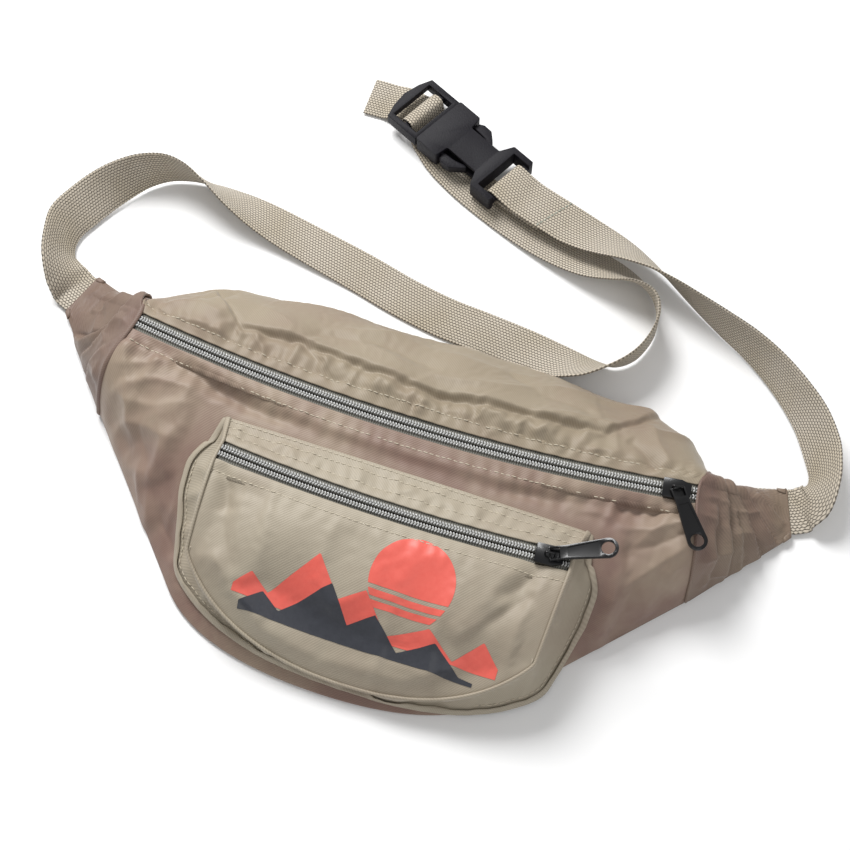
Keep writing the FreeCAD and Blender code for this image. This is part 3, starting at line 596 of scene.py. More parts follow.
# bag front
def bagFrontGrid():
    p = panelSizes
    grid = gridOf(frontPoint, np.linspace(-1, 1, 137), np.linspace(0, 1, 90))
    grid = resampleRows(grid, p["pitch"])
    flat = grid.reshape(-1, 3)
    inside = edgeFade(grid, 16).ravel()
    underPocket = smooth((120 - np.abs(flat[:, 0] - 10)) / 9) * smooth((15 - flat[:, 1]) / 7)
    underPocket *= smooth((118 - np.hypot(flat[:, 0] - 10, flat[:, 1] + 2)) / 8)
    free = (1 - underPocket)
    rise = inside * free * (lumps(flat, 34, 3.4, 2.0) + lumps(flat, 13, 1.0, 9.0))
    creasing = wrinkles(flat, 16, 2.4, 15, 1.5, 3.0) + wrinkles(flat, 24, 2.6, 70, 1.5, 8.0) - 1.0
    rise += inside * free * creasing
    rise += free * creaseField(flat[:, :2], [
        ([(-148, 36), (-118, 24), (-80, 15), (-40, 11), (0, 9), (50, 11), (95, 18)], 4.5, -3.4),
        ([(-128, 33), (-84, 23), (-34, 17), (16, 16), (66, 19), (106, 27)], 4.0, 2.4),
        ([(-152, 32), (-141, 8), (-132, -18)], 5.5, 2.6), ([(-146, 26), (-134, 4), (-126, -20)], 4.5, -1.6),
        ([(-108, -4), (-116, -28), (-108, -54)], 5, 2.6), ([(112, 4), (124, -16), (118, -40)], 6, 2.6),
        ([(124, 6), (133, -12), (128, -34)], 5, -1.8),
        ([(153, 34), (132, 25), (110, 22)], 3.0, -3.0, 1.0),
        ([(153, 30), (134, 18), (116, 12)], 3.2, 2.6, 1.0),
        ([(154, 24), (136, 10), (120, 2)], 3.2, -2.2, 1.0),
        ([(152, 16), (138, 0), (126, -14)], 3.6, 2.0, 1.0),
        ([(-128, -12), (-106, -46), (-86, -68)], 5, -2.4), ([(-122, 2), (-104, -30)], 6, 1.8)])
    rise = rise.reshape(grid.shape[:2])
    rise += topstitch(grid, p["stitchFromEdge"], p["stitchDepth"], p["puckerSpacing"], 1.0, 0.8)
    return onTheTable(grid + normalsOf(grid) * rise[..., None], 1.5), grid, underPocket


frontGrid, frontCut, underPocket = bagFrontGrid()
frontHems = [("left", 0.8, 0.8), ("right", 0.8, 0.8), ("first", 0.45, 7.0), ("last", 0.9, 3.0)]


def withHems(grid, hems):
    for edge, radius, tuck in hems:
        grid = turnUnder(grid, edge, radius, tuck)
    return grid


def panel(name, grid, cut, hems, material, grow=0.0, softness=None, thick=0.45):
    # a sewn panel: its grid settles where it grows, and then its hems and its thickness are added
    obj = gridObject(name, grid, material)
    if grow:
        hold = softness.ravel() if softness is not None else (1 - 0.5 * edgeFade(grid, 8)).ravel()
        settle(obj, hold, grow)
        grid = readPoints(obj).reshape(grid.shape)
    bpy.data.objects.remove(obj)
    obj = gridObject(name, withHems(grid, hems), material, cut=withHems(cut, hems))
    return finishCloth(obj, thick), grid


frontSoft = 1 - 0.45 * edgeFade(frontGrid, 9) * (1 - underPocket.reshape(frontGrid.shape[:2]))
frontSoft[:3] = 1
bagFront, frontGrid = panel("bagFront", frontGrid, frontCut, frontHems, bagNylon, 0.025, frontSoft)
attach(bagFront, "bag")
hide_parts("front_panel")
print("front panel sewn")


# bag top: a puffed band along the zip, then a deep crease from dart to dart
def bagTopGrid():
    p = panelSizes
    grid = gridOf(topPoint, np.linspace(-1, 1, 171), np.linspace(0, 1, 200))
    grid = resampleRows(grid, p["finePitch"])
    flat = grid.reshape(-1, 3)
    inside = edgeFade(grid, 12).ravel()
    crease = [(-104, 61), (-97, 56), (-66, 58), (-44, 56), (-20, 53), (10, 51), (35, 54), (64, 56), (96, 60),
              (104, 66)]
    rise = inside * (lumps(flat, 30, 3.4, 5.0) + wrinkles(flat, 22, 3.0, 8, 1.6, 5.0) - 0.8)
    below = -nearLine(flat[:, :2], crease)[0]
    band = edgeFade(grid, 9).ravel() * smooth(below / 3) * smooth((26 - below) / 14)
    band = band * smooth((112 - np.abs(flat[:, 0])) / 16)
    folds = 1.6 * np.maximum(0, puckers(flat, 21, 17.0))
    rise += band * (wrinkles(flat, 7.5, 2.6, 96, 2.6, 6.0) + folds - 1.2)
    rise += lapField(flat[:, :2], [
        (crease, 13, 4.4), ([(-97, 54), (-110, 66), (-123, 79)], 9, 2.6),
        ([(96, 58), (108, 73), (120, 88)], 9, 2.8),
        ([(-64, 57), (-48, 49), (-40, 40)], 7, 1.8), ([(-6, 51), (2, 44), (4, 36)], 6, 2.0),
        ([(28, 53), (38, 44), (42, 36)], 6, 1.8), ([(58, 55), (70, 47), (74, 40)], 6, 1.5)])
    rise += creaseField(flat[:, :2], [
        ([(x, y - 7.5) for x, y in crease[1:-1]], 6, 2.2, 1.8),
        ([(-140, 56), (-124, 62), (-106, 56)], 4.5, 2.2), ([(134, 50), (124, 62), (116, 78)], 5, 2.0),
        ([(128, 46), (116, 56), (108, 60)], 3.4, -2.0), ([(-132, 62), (-118, 70), (-110, 82)], 4, -1.6),
        ([(-66, 62), (-50, 68), (-22, 70), (10, 64)], 4, -1.8),
        ([(-60, 72), (-24, 80), (22, 78), (58, 84)], 6, 1.8),
        ([(36, 82), (60, 72), (92, 68)], 4, -1.8)])
    rise = rise.reshape(grid.shape[:2])
    rise += topstitch(grid, p["stitchFromEdge"], p["stitchDepth"], p["puckerSpacing"] * 1.1, 12.0, 0.8)
    return onTheTable(grid + normalsOf(grid) * rise[..., None], 1.5), grid


topGrid, topCut = bagTopGrid()
bagTop, topGrid = panel("bagTop", topGrid, topCut, frontHems, topNylon, 0.025)
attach(bagTop, "bag")
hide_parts("top_panel")
print("top panel sewn")


# hip wings
def wingSeamLine(count):
    # evenly spaced points along the seam, from the bottom edge over the zip's end to the top edge
    line = np.concatenate([frontPoint(np.ones(60), np.linspace(1, 0, 60)),
                           topPoint(np.ones(40), np.linspace(0, 1, 40))])
    reach = lengthAlong(line)
    return atLengths(line, reach, np.linspace(0, reach[-1], count))


wingFolds = {
    "right": [([(176, 14), (169, 32), (163, 46), (156, 60)], 6.0, 3.4),
              ([(194, 33), (181, 40), (171, 50), (160, 62)], 7.0, 3.4),
              ([(185, 22), (175, 35), (166, 48)], 5.0, 2.4),
              ([(197, 43), (187, 49), (177, 57), (168, 65)], 6.0, 2.4),
              ([(167, 8), (163, 26), (158, 42)], 4.0, 2.0), ([(198, 56), (188, 60), (178, 66)], 5.0, 1.6)],
    "left": [([(-151, 64), (-158, 53), (-163, 43), (-171, 36), (-181, 35), (-192, 39)], 7.0, 3.6),
             ([(-158, 46), (-164, 35), (-172, 28), (-181, 27)], 6.0, 2.2),
             ([(-160, 26), (-168, 20), (-178, 16)], 5.0, 1.6),
             ([(-178, 70), (-184, 60), (-186, 50)], 5.0, 1.8),
             ([(-163, 70), (-170, 60), (-179, 55)], 5.0, 2.0)],
}


def wingGrid(side, word):
    s = bagSizes
    count = 101
    arch = wingSeamLine(count)
    run = np.linspace(0, 1, count)
    tipX, tipY = mix(s["tipBottom"][0], s["tipTop"][0], run), mix(s["tipBottom"][1], s["tipTop"][1], run)
    rows = []
    for out in np.linspace(0, 1, 41):
        rows.append(np.stack([mix(arch[:, 0] + s["wingGap"], tipX, out), mix(arch[:, 1], tipY, out),
                              mix(s["tipHeight"], arch[:, 2], (1 - out) ** 1.35)], -1))
    grid = np.stack(rows)
    flat = grid.reshape(-1, 3)
    inside = edgeFade(grid, 7).ravel()
    fade = smooth(grid[..., 2].ravel() / 14)
    flatSide = flat * np.array([side, 1, 1])
    rise = lumps(flatSide, 16, 2.0, 20.0 + side) + wrinkles(flatSide, 13, 2.5, 20 * side, 1.4, 30.0) - 0.5
    rise *= inside
    rise *= 0.4 + 0.6 * fade
    rise += lapField(flatSide[:, :2], wingFolds[word]) * (0.6 + 0.8 * fade)
    creased = onTheTable(grid + normalsOf(grid) * rise.reshape(grid.shape[:2])[..., None], 1.6)
    if side < 0:
        return creased[:, ::-1] * np.array([-1, 1, 1]), grid[:, ::-1] * np.array([-1, 1, 1])
    return creased, grid


def wingBackGrid(side, word):
    # flat on the table, from the seam to the tip
    s = bagSizes
    corners = [(s["seamBottom"][0] + s["wingGap"], s["seamBottom"][1]), s["tipBottom"], s["tipTop"],
               (s["seamTop"][0] + s["wingGap"], s["seamTop"][1])]
    u, v = np.meshgrid(np.linspace(0, 1, 16), np.linspace(0, 1, 22))
    lower = mix(np.array(corners[0]), np.array(corners[1]), u[..., None])
    upper = mix(np.array(corners[3]), np.array(corners[2]), u[..., None])
    xy = mix(lower, upper, v[..., None])
    height = boxMm(word + "_wing_back")[1][2]
    grid = np.concatenate([xy * np.array([side, 1]), np.full((22, 16, 1), height)], -1)
    grid[..., 2] -= 0.12 * (1 - edgeFade(grid, 3))
    return grid


wingHems = [("first", 0.8, 0.8), ("last", 0.6, 5.0), ("left", 0.9, 2.0), ("right", 0.9, 2.0)]
for side, word in ((1, "right"), (-1, "left")):
    grid, cut = wingGrid(side, word)
    soft = 1 - 0.42 * edgeFade(grid, 6)
    wing, _ = panel(word + "Wing", grid, cut, wingHems, wingNylon, 0.03, soft)
    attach(wing, "bag")
    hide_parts(word + "_wing_front")
    wingBack = finishCloth(gridObject(word + "WingBack", wingBackGrid(side, word), wingNylon), 0.7)
    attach(wingBack, "bag")
    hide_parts(word + "_wing_back")
print("wings sewn")


def rollAlong(name, path, wide, high, material):
    # a seam rolled over: a soft tube along a path, flattened on the cloth below it
    along = unit(np.gradient(path, axis=0))
    side = unit(np.cross(along, np.array([0, 0, 1.0])))
    up = unit(np.cross(side, along))
    turn = np.linspace(0, 2 * math.pi, 13)[:-1]
    swell = 1 + lumps(path, 14, 0.2, 71.0)
    swell = swell[:, None] / 2
    grid = np.stack([path + side * wide * math.cos(a) * swell + up * high * math.sin(a) * swell
                     for a in turn], 1)
    obj = gridObject(name, grid, material, closed=True)
    closeShape(obj)
    addSubdivision(obj, 1)
    return applyModifiers(obj)


seamRoll = {"right": (1.8, 1.4), "left": (2.8, 1.7)}  # width and height
for side, word in ((1, "right"), (-1, "left")):
    line = wingSeamLine(60)
    for _ in range(3):
        line[1:-1] = (line[:-2] + 2 * line[1:-1] + line[2:]) / 4
    line[:, 0] += 0.6
    line[:, 2] = np.maximum(line[:, 2] + 0.3, 1.7)
    roll = rollAlong(word + "WingSeam", line * np.array([side, 1, 1]), *seamRoll[word], wingNylon)
    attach(roll, "bag")
print("wing seams rolled")


# back panel: flat on the table, its edge a little rounded
def backGrid():
    lower = bottomEdge(np.linspace(-1, 1, 91))
    upper = topEdge(np.linspace(-1, 1, 91))
    rows = [mix(lower, upper, t) for t in np.linspace(0, 1, 48)]
    grid = np.concatenate([np.stack(rows), np.full((48, 91, 1), boxMm("back_panel")[1][2])], -1)
    grid[..., 2] -= 0.15 * (1 - edgeFade(grid, 4))
    return grid


bagBack = finishCloth(gridObject("bagBack", backGrid(), bagNylon), 0.7, 0)
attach(bagBack, "bag")
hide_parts("back_panel")
print("back panel sewn")


# front pocket
pocketSizes = {"x": 10.0, "topY": 6.0, "topHalf": 93.0, "corner": (88.0, -64.0), "bottomY": -97.0,
               "bulge": 5.0, "flare": 16.0, "head": 34.0, "start": 0.19, "lift": 0.55, "pitch": 2.6,
               "turn": 0.62, "faceHalf": 94.0, "edgeHeight": 11.0, "faceStitch": 5.5, "bandStitch": 5.0}


def frontHeight(x, y):
    # height of the bag's front over points of the plan
    x, y = np.asarray(x, float), np.asarray(y, float)
    half = bagSizes["seamBottom"][0]
    share, run = x / half, np.full_like(x, 0.5)
    for _ in range(40):
        top = zipPoint(mainZip, share, bagSizes["zipWindow"])
        end = bottomEdge(share)
        run = np.clip((y - top[:, 1]) / (end[:, 1] - top[:, 1]), 0, 1)
        at = mix(top[:, 0], end[:, 0], run)
        share = np.clip(share + (x - at) / half, -1, 1)
    return frontPoint(share, run)[:, 2]


def faceEdge(run):
    p = pocketSizes
    run = np.asarray(run, float)
    side, t = np.where(run < 0.5, -1.0, 1.0), np.abs(run - 0.5) * 2
    turn = p["turn"]
    end = zipPoint(pocketZip, np.array([1.0]), bagSizes["zipWindow"])[0]
    curve = bezier([(0, p["bottomY"]), (0.72 * p["corner"][0], p["bottomY"]), p["corner"]],
                   np.clip(t / turn, 0, 1))
    k = np.clip((t - turn) / (1 - turn), 0, 1)[:, None]
    straight = mix(np.array(p["corner"])[None], np.array([end[0] - p["x"], end[1]])[None], k)
    xy = np.where((t < turn)[:, None], curve, straight)
    return np.stack([p["x"] + side * xy[:, 0], xy[:, 1]], -1)


def faceHeight(x, y):
    p = pocketSizes
    zipY = boxMm("pocket_coil_lower")[0][1] + coilReach
    across = np.minimum(1, np.abs(x - p["x"]) / p["faceHalf"])
    down = np.clip((zipY - y) / (zipY - p["bottomY"]), 0, 1)
    depth = p["bulge"] * np.maximum(0, np.sin(np.pi * down ** 0.8)) * (1 - across ** 4)
    below = np.clip((zipY - bagSizes["zipWindow"] - y) / (zipY - bagSizes["zipWindow"] - p["bottomY"]), 0, 1)
    return mix(pocketZip["z"] + bagSizes["frontStart"], p["edgeHeight"], below ** 1.6) + depth


def pocketFaceGrid():
    p = pocketSizes
    s = np.linspace(0, 1, 69)
    start = p["start"]
    top = zipPoint(pocketZip, s * 2 - 1, bagSizes["zipWindow"])[:, :2]
    ends = zipPoint(pocketZip, np.array([-1.0, 1.0]), bagSizes["zipWindow"])[:, :2]
    edge = faceEdge(mix(start, 1 - start, s))
    corners = faceEdge(np.array([start, 1 - start]))
    rows = []
    for r in np.linspace(0, 1, 60):
        sides = faceEdge(np.array([start * r, 1 - start * r]))
        rows.append(mix(top, edge, r) + mix(sides[0], sides[1], s[:, None])
                    - mix(mix(ends[0], ends[1], s[:, None]), mix(corners[0], corners[1], s[:, None]), r))
    xy = np.stack(rows)
    z = faceHeight(xy[..., 0], xy[..., 1])
    grid = resampleRows(np.concatenate([xy, z[..., None]], -1), p["pitch"])
    flat = grid.reshape(-1, 3)
    inside = edgeFade(grid, 12).ravel()
    rise = inside * (lumps(flat, 36, 3.0, 41.0) + wrinkles(flat, 26, 2.6, 100, 1.5, 44.0) - 0.6)
    rise += creaseField(flat[:, :2], [
        ([(-78, -20), (-70, -30), (-66, -44)], 4, -2.6, 1.1),
        ([(88, -18), (84, -30), (72, -44)], 4, -2.6, 1.1),
        ([(80, -40), (72, -52), (58, -66)], 4, 2.4, 1.1), ([(90, -34), (82, -44), (70, -56)], 3.2, -2.4, 1.1),
        ([(-40, -84), (0, -90), (40, -88), (70, -74)], 4, 2.2),
        ([(-66, -60), (-52, -74), (-30, -84)], 4, 2.0),
        ([(-74, -26), (-66, -48), (-52, -70)], 5, -1.4), ([(-62, -30), (-56, -52), (-44, -72)], 6, 1.2),
        ([(86, -24), (78, -46), (62, -68)], 4.5, -1.8), ([(76, -24), (68, -46), (54, -66)], 6, 1.3),
        ([(-60, -74), (-20, -84), (20, -87), (60, -80)], 4.5, 1.3),
        ([(-50, -66), (-10, -75), (30, -77), (60, -70)], 5, -1.1)])
    rise = rise.reshape(grid.shape[:2]) + topstitch(grid, p["faceStitch"], 0.35, 8.0, 47.0, 0.45)
    return grid + normalsOf(grid) * rise[..., None], grid


pocketGrid, pocketCut = pocketFaceGrid()
pocketSoft = 1 - 0.42 * edgeFade(pocketGrid, 9)
pocketSoft[:3] = 1
faceHems = [("left", 0.7, 0.6), ("right", 0.7, 0.6), ("first", 0.45, 7.0), ("last", 0.8, 2.0)]
pocketFace, pocketGrid = panel("pocketFace", pocketGrid, pocketCut, faceHems, pocketNylon, 0.025, pocketSoft)
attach(pocketFace, "bag")
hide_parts("pocket_panel")


def bandPoint(share, run):
    p = pocketSizes
    low = zipPoint(pocketZip, share, -bagSizes["zipWindow"], bagSizes["frontStart"])
    seam = np.stack([p["x"] + share * p["topHalf"], np.full_like(share, p["topY"])], -1)
    xy = mix(low[:, :2], seam, run)
    floor = frontHeight(xy[:, 0], xy[:, 1]) + p["lift"]
    return np.concatenate([xy, np.maximum(mix(low[:, 2], floor, run ** 1.5), floor)[:, None]], -1)


def pocketBandGrid():
    share = np.linspace(-1, 1, 91)
    grid = np.stack([bandPoint(share, r) for r in np.linspace(0, 1, 12)])
    flat = grid.reshape(-1, 3)
    rise = topstitch(grid, pocketSizes["bandStitch"], 0.4, 8.0, 52.0, 0.7)
    bumps = lumps(flat, 22, 1.4, 55.0) + wrinkles(flat, 9, 2.0, 80, 1.3, 56.0) - 0.4
    rise += bumps.reshape(rise.shape) * edgeFade(grid, 5)
    return grid + normalsOf(grid) * rise[..., None], grid


bandGrid, bandCut = pocketBandGrid()
bandHems = [("left", 0.5, 0.6), ("right", 0.5, 0.6), ("first", 0.45, 5.0), ("last", 0.4, 3.0)]
pocketBand, _ = panel("pocketBand", bandGrid, bandCut, bandHems, pocketNylon)
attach(pocketBand, "bag")
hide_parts("pocket_top_band")


def gussetGrid():
    # from the band's seam down past the end of the zip, round the face, and up the other side
    p = pocketSizes
    heads = [np.concatenate([bandPoint(np.array([side]), r) for r in np.linspace(1, 0, 12)])
             for side in (-1.0, 1.0)]
    xy = faceEdge(np.linspace(0, 1, 161))
    face = np.concatenate([xy, faceHeight(xy[:, 0], xy[:, 1])[:, None]], -1)
    edge = np.concatenate([heads[0], face, heads[1][::-1]])
    reach = lengthAlong(edge)
    target = np.linspace(0, reach[-1], 181)
    edge = atLengths(edge, reach, target)
    along = unit(np.gradient(edge[:, :2], axis=0))
    out = np.stack([along[:, 1], -along[:, 0]], -1)
    side = np.abs(2 * target / reach[-1] - 1)
    end = np.minimum(target, reach[-1] - target)
    flare = mix(1.2, p["flare"], np.minimum(1, side * 1.3) ** 2) * np.minimum(1, 0.2 + end / p["head"])
    start, base = edge[:, :2] + out * 0.5, edge[:, :2] + out * flare[:, None]
    baseZ = frontHeight(base[:, 0], base[:, 1]) + p["lift"]
    rows = []
    for r in np.linspace(0, 1, 11):
        fold = -3.0 * np.sin(math.pi * r) ** 1.4 * smooth((edge[:, 2] - baseZ) / 14) * smooth(end / 40)
        at = mix(start, base, r) + out * fold[:, None]
        sag = -2.5 * math.sin(math.pi * r) * smooth(flare / 12)
        z = np.maximum(mix(edge[:, 2], baseZ, r) + sag, frontHeight(at[:, 0], at[:, 1]) + p["lift"])
        rows.append(np.concatenate([at, z[:, None]], -1))
    grid = np.stack(rows)
    flat = grid.reshape(-1, 3)
    bend = (lumps(flat, 18, 1.8, 61.0) + wrinkles(flat, 11, 2.0, 80, 1.6, 62.0) - 0.5).reshape(grid.shape[:2])
    return grid + normalsOf(grid) * (bend * edgeFade(grid, 5))[..., None], grid


gussetShape, gussetCut = gussetGrid()
gussetHems = [("first", 0.5, 2.0), ("last", 0.4, 3.0)]
pocketGusset, _ = panel("pocketGusset", gussetShape, gussetCut, gussetHems, pocketNylon, thick=0.4)
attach(pocketGusset, "bag")
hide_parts("pocket_gusset")
print("pocket sewn")


# rows of small pieces: stitches and coil teeth
def pieceRowTree():
    # small rounded bars along a line: long one way, turned a little, and jittered with a fixed seed
    tree = bpy.data.node_groups.new("pieceRow", "GeometryNodeTree")
    face = tree.interface
    face.new_socket("Geometry", in_out="INPUT", socket_type="NodeSocketGeometry")
    for name, kind in (("Spacing", "NodeSocketFloat"), ("Piece Size", "NodeSocketVector"),
                       ("Turn", "NodeSocketFloat"), ("Jitter", "NodeSocketFloat"),
                       ("Finish", "NodeSocketMaterial")):
        face.new_socket(name, in_out="INPUT", socket_type=kind)
    face.new_socket("Geometry", in_out="OUTPUT", socket_type="NodeSocketGeometry")
    start = addNode(tree, "NodeGroupInput")
    curve = addNode(tree, "GeometryNodeMeshToCurve", {"Mesh": start.outputs["Geometry"]})
    even = addNode(tree, "GeometryNodeResampleCurve", {"Curve": curve.outputs["Curve"],
                                                       "Length": start.outputs["Spacing"]}, mode="LENGTH")
    along = addNode(tree, "GeometryNodeInputTangent")
    level = addNode(tree, "FunctionNodeAlignRotationToVector", {"Vector": along.outputs[0]}, axis="X")
    upright = addNode(tree, "FunctionNodeAlignRotationToVector", {"Rotation": level.outputs[0]},
                      {"Vector": (0, 0, 1)}, axis="Z", pivot_axis="X")
    shake = addNode(tree, "FunctionNodeRandomValue", None, {"Seed": 7}, data_type="FLOAT")
    tree.links.new(start.outputs["Jitter"], shake.inputs[3])
    less = addNode(tree, "ShaderNodeMath", {0: start.outputs["Jitter"]}, {1: -1.0}, operation="MULTIPLY")
    tree.links.new(less.outputs[0], shake.inputs[2])
    turn = addNode(tree, "ShaderNodeMath", {0: start.outputs["Turn"], 1: shake.outputs[1]}, operation="ADD")
    about = addNode(tree, "ShaderNodeCombineXYZ", {2: turn.outputs[0]})
    asTurn = addNode(tree, "FunctionNodeEulerToRotation", {0: about.outputs[0]})
    turned = addNode(tree, "FunctionNodeRotateRotation", {0: upright.outputs[0], 1: asTurn.outputs[0]},
                     rotation_space="LOCAL")
    bar = addNode(tree, "GeometryNodeMeshCube", None, {"Size": (1, 1, 1), "Vertices X": 2, "Vertices Y": 3})
    rounded = addNode(tree, "GeometryNodeSubdivisionSurface", {"Mesh": bar.outputs["Mesh"]}, {"Level": 1})
    placed = addNode(tree, "GeometryNodeInstanceOnPoints",
                     {"Points": even.outputs[0], "Instance": rounded.outputs[0],
                      "Rotation": turned.outputs[0], "Scale": start.outputs["Piece Size"]})
    real = addNode(tree, "GeometryNodeRealizeInstances", {0: placed.outputs[0]})
    soft = addNode(tree, "GeometryNodeSetShadeSmooth", {0: real.outputs[0]})
    painted = addNode(tree, "GeometryNodeSetMaterial",
                      {0: soft.outputs[0], "Material": start.outputs["Finish"]})
    end = addNode(tree, "NodeGroupOutput")
    tree.links.new(painted.outputs[0], end.inputs[0])
    return tree


rowTree = pieceRowTree()


def pieceRow(name, lines, spacing, size, turn, jitter, material):
    vertices, edges = [], []
    for line in lines:
        first = len(vertices)
        vertices += [tuple(np.asarray(p) * 0.001) for p in line]
        edges += [(first + k, first + k + 1) for k in range(len(line) - 1)]
    mesh = bpy.data.meshes.new(name)
    mesh.from_pydata(vertices, edges, [])
    obj = bpy.data.objects.new(name, mesh)
    scene.collection.objects.link(obj)
    modifier = obj.modifiers.new("row", "NODES")
    modifier.node_group = rowTree
    named = {item.name: item.identifier for item in rowTree.interface.items_tree if item.in_out == "INPUT"}
    modifier[named["Spacing"]] = spacing * 0.001
    modifier[named["Piece Size"]] = [k * 0.001 for k in size]
    modifier[named["Turn"]] = turn
    modifier[named["Jitter"]] = jitter
    modifier[named["Finish"]] = material
    return applyModifiers(obj)


def joinPieces(name, pieces):
    shape = bmesh.new()
    for piece in pieces:
        shape.from_mesh(piece.data)
    mesh = bpy.data.meshes.new(name)
    shape.to_mesh(mesh)
    shape.free()
    for material in pieces[0].data.materials:
        mesh.materials.append(material)
    for piece in pieces:
        bpy.data.objects.remove(piece)
    obj = bpy.data.objects.new(name, mesh)
    scene.collection.objects.link(obj)
    return obj


stitchSizes = {"spacing": 3.1, "piece": (2.7, 0.55, 0.5)}


def rowOnGrid(grid, fromEdge, lift=0.15, skip=(0, 0)):
    # a line at that distance along the cloth from the grid's first row
    reach = heightTo(grid)
    out = []
    for j in range(skip[0], grid.shape[1] - skip[1]):
        out.append([np.interp(fromEdge, reach[:, j], grid[:, j, k]) for k in range(3)])
    line = np.array(out)
    line[:, 2] += lift
    return line


stitches = pieceRow("stitches", [
    rowOnGrid(frontGrid, panelSizes["stitchFromEdge"], skip=(2, 2)),
    rowOnGrid(topGrid, panelSizes["stitchFromEdge"], skip=(2, 2)),
    rowOnGrid(pocketGrid, pocketSizes["faceStitch"]), rowOnGrid(bandGrid, pocketSizes["bandStitch"]),
    rowOnGrid(bandGrid[::-1], 1.6), rowOnGrid(bandGrid[::-1], 6.0),
    rowOnGrid(gussetShape[::-1], 1.2, 0.25, (6, 118)), rowOnGrid(gussetShape[::-1], 1.2, 0.25, (118, 6)),
    rowOnGrid(gussetShape[::-1], 4.4, 0.25, (14, 126)), rowOnGrid(gussetShape[::-1], 4.4, 0.25, (126, 14)),
], stitchSizes["spacing"], stitchSizes["piece"], 0.0, 0.12, thread)
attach(stitches, "bag")
print("stitches placed")


# zips
coilSizes = {"pitch": 1.5, "tooth": (0.95, 1.75, 1.7), "slant": 0.6, "window": 5.4, "hidden": 2.0, "gap": 1.0,
             "width": 2.7, "tape": 0.6}


def coilTeeth(name, line, sideOfZip, node):
    # each loop of the coil shows as two short bars that lean opposite ways, either side of its sewing thread
    c = coilSizes
    rows = []
    for k, lean in ((0.27, 1), (0.73, -1)):
        path = zipPoint(line, np.linspace(-1, 1, 400), sideOfZip * (c["gap"] / 2 + c["width"] * k), 1.0)
        turn = sideOfZip * lean * c["slant"]
        rows.append(pieceRow(name + "Part", [path], c["pitch"], c["tooth"], turn, 0.0, coilNylon))
    joined = joinPieces(name, rows)
    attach(joined, "bag")
    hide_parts(node)


def zipTapeStrip(name, line, sideOfZip, node):
    c = coilSizes
    offsets = [c["gap"] / 2, 1.2, 2.4, 3.4, 3.8, 4.4, 5.0, c["window"] + c["hidden"]]
    lifts = [0, 0, 0, 0.05, 0.0, -0.05, -0.1, -1.1]
    share = np.linspace(-1, 1, 161)
    grid = np.stack([zipPoint(line, share, sideOfZip * o, z) for o, z in zip(offsets, lifts)])
    strip = finishCloth(gridObject(name, grid, zipTape), c["tape"], 0)
    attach(strip, "bag")
    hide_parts(node)


for word, line in (("main", mainZip), ("pocket", pocketZip)):
    for side, place in ((1, "lower"), (-1, "upper")):
        coilTeeth(word + "Teeth" + place.capitalize(), line, side, f"{word}_coil_{place}")
        zipTapeStrip(word + "Tape" + place.capitalize(), line, side, f"{word}_tape_{place}")
print("zips placed")


# belt
webSizes = {"width": 25.0, "thick": 1.4, "step": 0.75, "scallop": 2.25, "scallopDepth": 0.28}
# points of the belt's middle line: x, y, lift off the table and roll in degrees
longStrap = [
    (-183, 58, 1.2, 0), (-192, 61.2, 1.2, 0), (-201, 64.6, 1.2, 0), (-204.5, 66.4, 1.2, 2),
    (-209.5, 70, 1.0, 27), (-216, 78, 0.5, 52), (-220, 89, 0.3, 58), (-221, 100, 0.3, 48),
    (-217, 112, 0.3, 40), (-211, 123, 0.3, 44), (-203, 133, 0.3, 56),
    (-193, 142, 0.3, 72), (-181, 148, 0.3, 86), (-169, 149, 0.3, 100), (-156, 147, 0.2, 118),
    (-141, 144, 0.1, 140), (-125, 141, 0.1, 158), (-106, 137, 0.1, 170), (-83, 132, 0.1, 176),
    (-58, 126.5, 0.1, 180), (-31, 119.5, 0.1, 180), (-7, 115, 0.1, 180), (15, 113, 0.1, 180),
    (39, 110.5, 0.1, 180), (59, 107.5, 0.2, 166), (75, 106.5, 0.3, 140), (88, 110.5, 0.3, 112),
    (98, 120, 0.3, 98), (103, 133, 0.3, 92), (103.5, 145, 0.3, 88), (99.5, 155, 0.3, 80),
    (90, 162.5, 0.3, 62), (75, 167.5, 0.2, 36), (55, 172, 0.1, 15), (31, 179, 0.1, 4), (5, 189, 0.1, 0),
    (-20, 200.5, 0.1, 0), (-39.8, 212.2, 0.2, 0),
]
shortStrap = [
    (178, 59, 1.2, 0), (187, 61.5, 1.2, 0), (196, 64, 1.2, 0), (201, 66, 1.2, 0), (203.5, 67.6, 1.2, -4),
    (207, 71, 1.6, -30), (209, 78.5, 0.8, -54), (208.5, 88, 0.3, -60), (204, 100, 0.3, -53),
    (195, 114, 0.3, -56), (183, 126, 0.3, -64), (169, 137, 0.3, -71), (154, 146, 0.3, -78),
    (139, 153, 0.3, -86), (124, 160, 0.6, -96), (109, 167, 1.8, -108), (95, 173, 3.4, -122),
    (80, 178, 5.2, -140), (65, 182, 6.4, -158), (51, 185.3, 7.3, -172), (41.5, 187.8, 7.6, -179),
    (34.2, 190.1, 7.65, -180),
]


def catmull(points, perRun):
    p = np.array(points, float)
    out = []
    for k in range(len(p) - 1):
        a, b, c, d = p[max(k - 1, 0)], p[k], p[k + 1], p[min(k + 2, len(p) - 1)]
        for t in np.arange(perRun) / perRun:
            out.append(0.5 * (2 * b + (c - a) * t + (2 * a - 5 * b + 4 * c - d) * t * t
                              + (3 * b - a - 3 * c + d) * t ** 3))
    return np.array(out + [p[-1]])


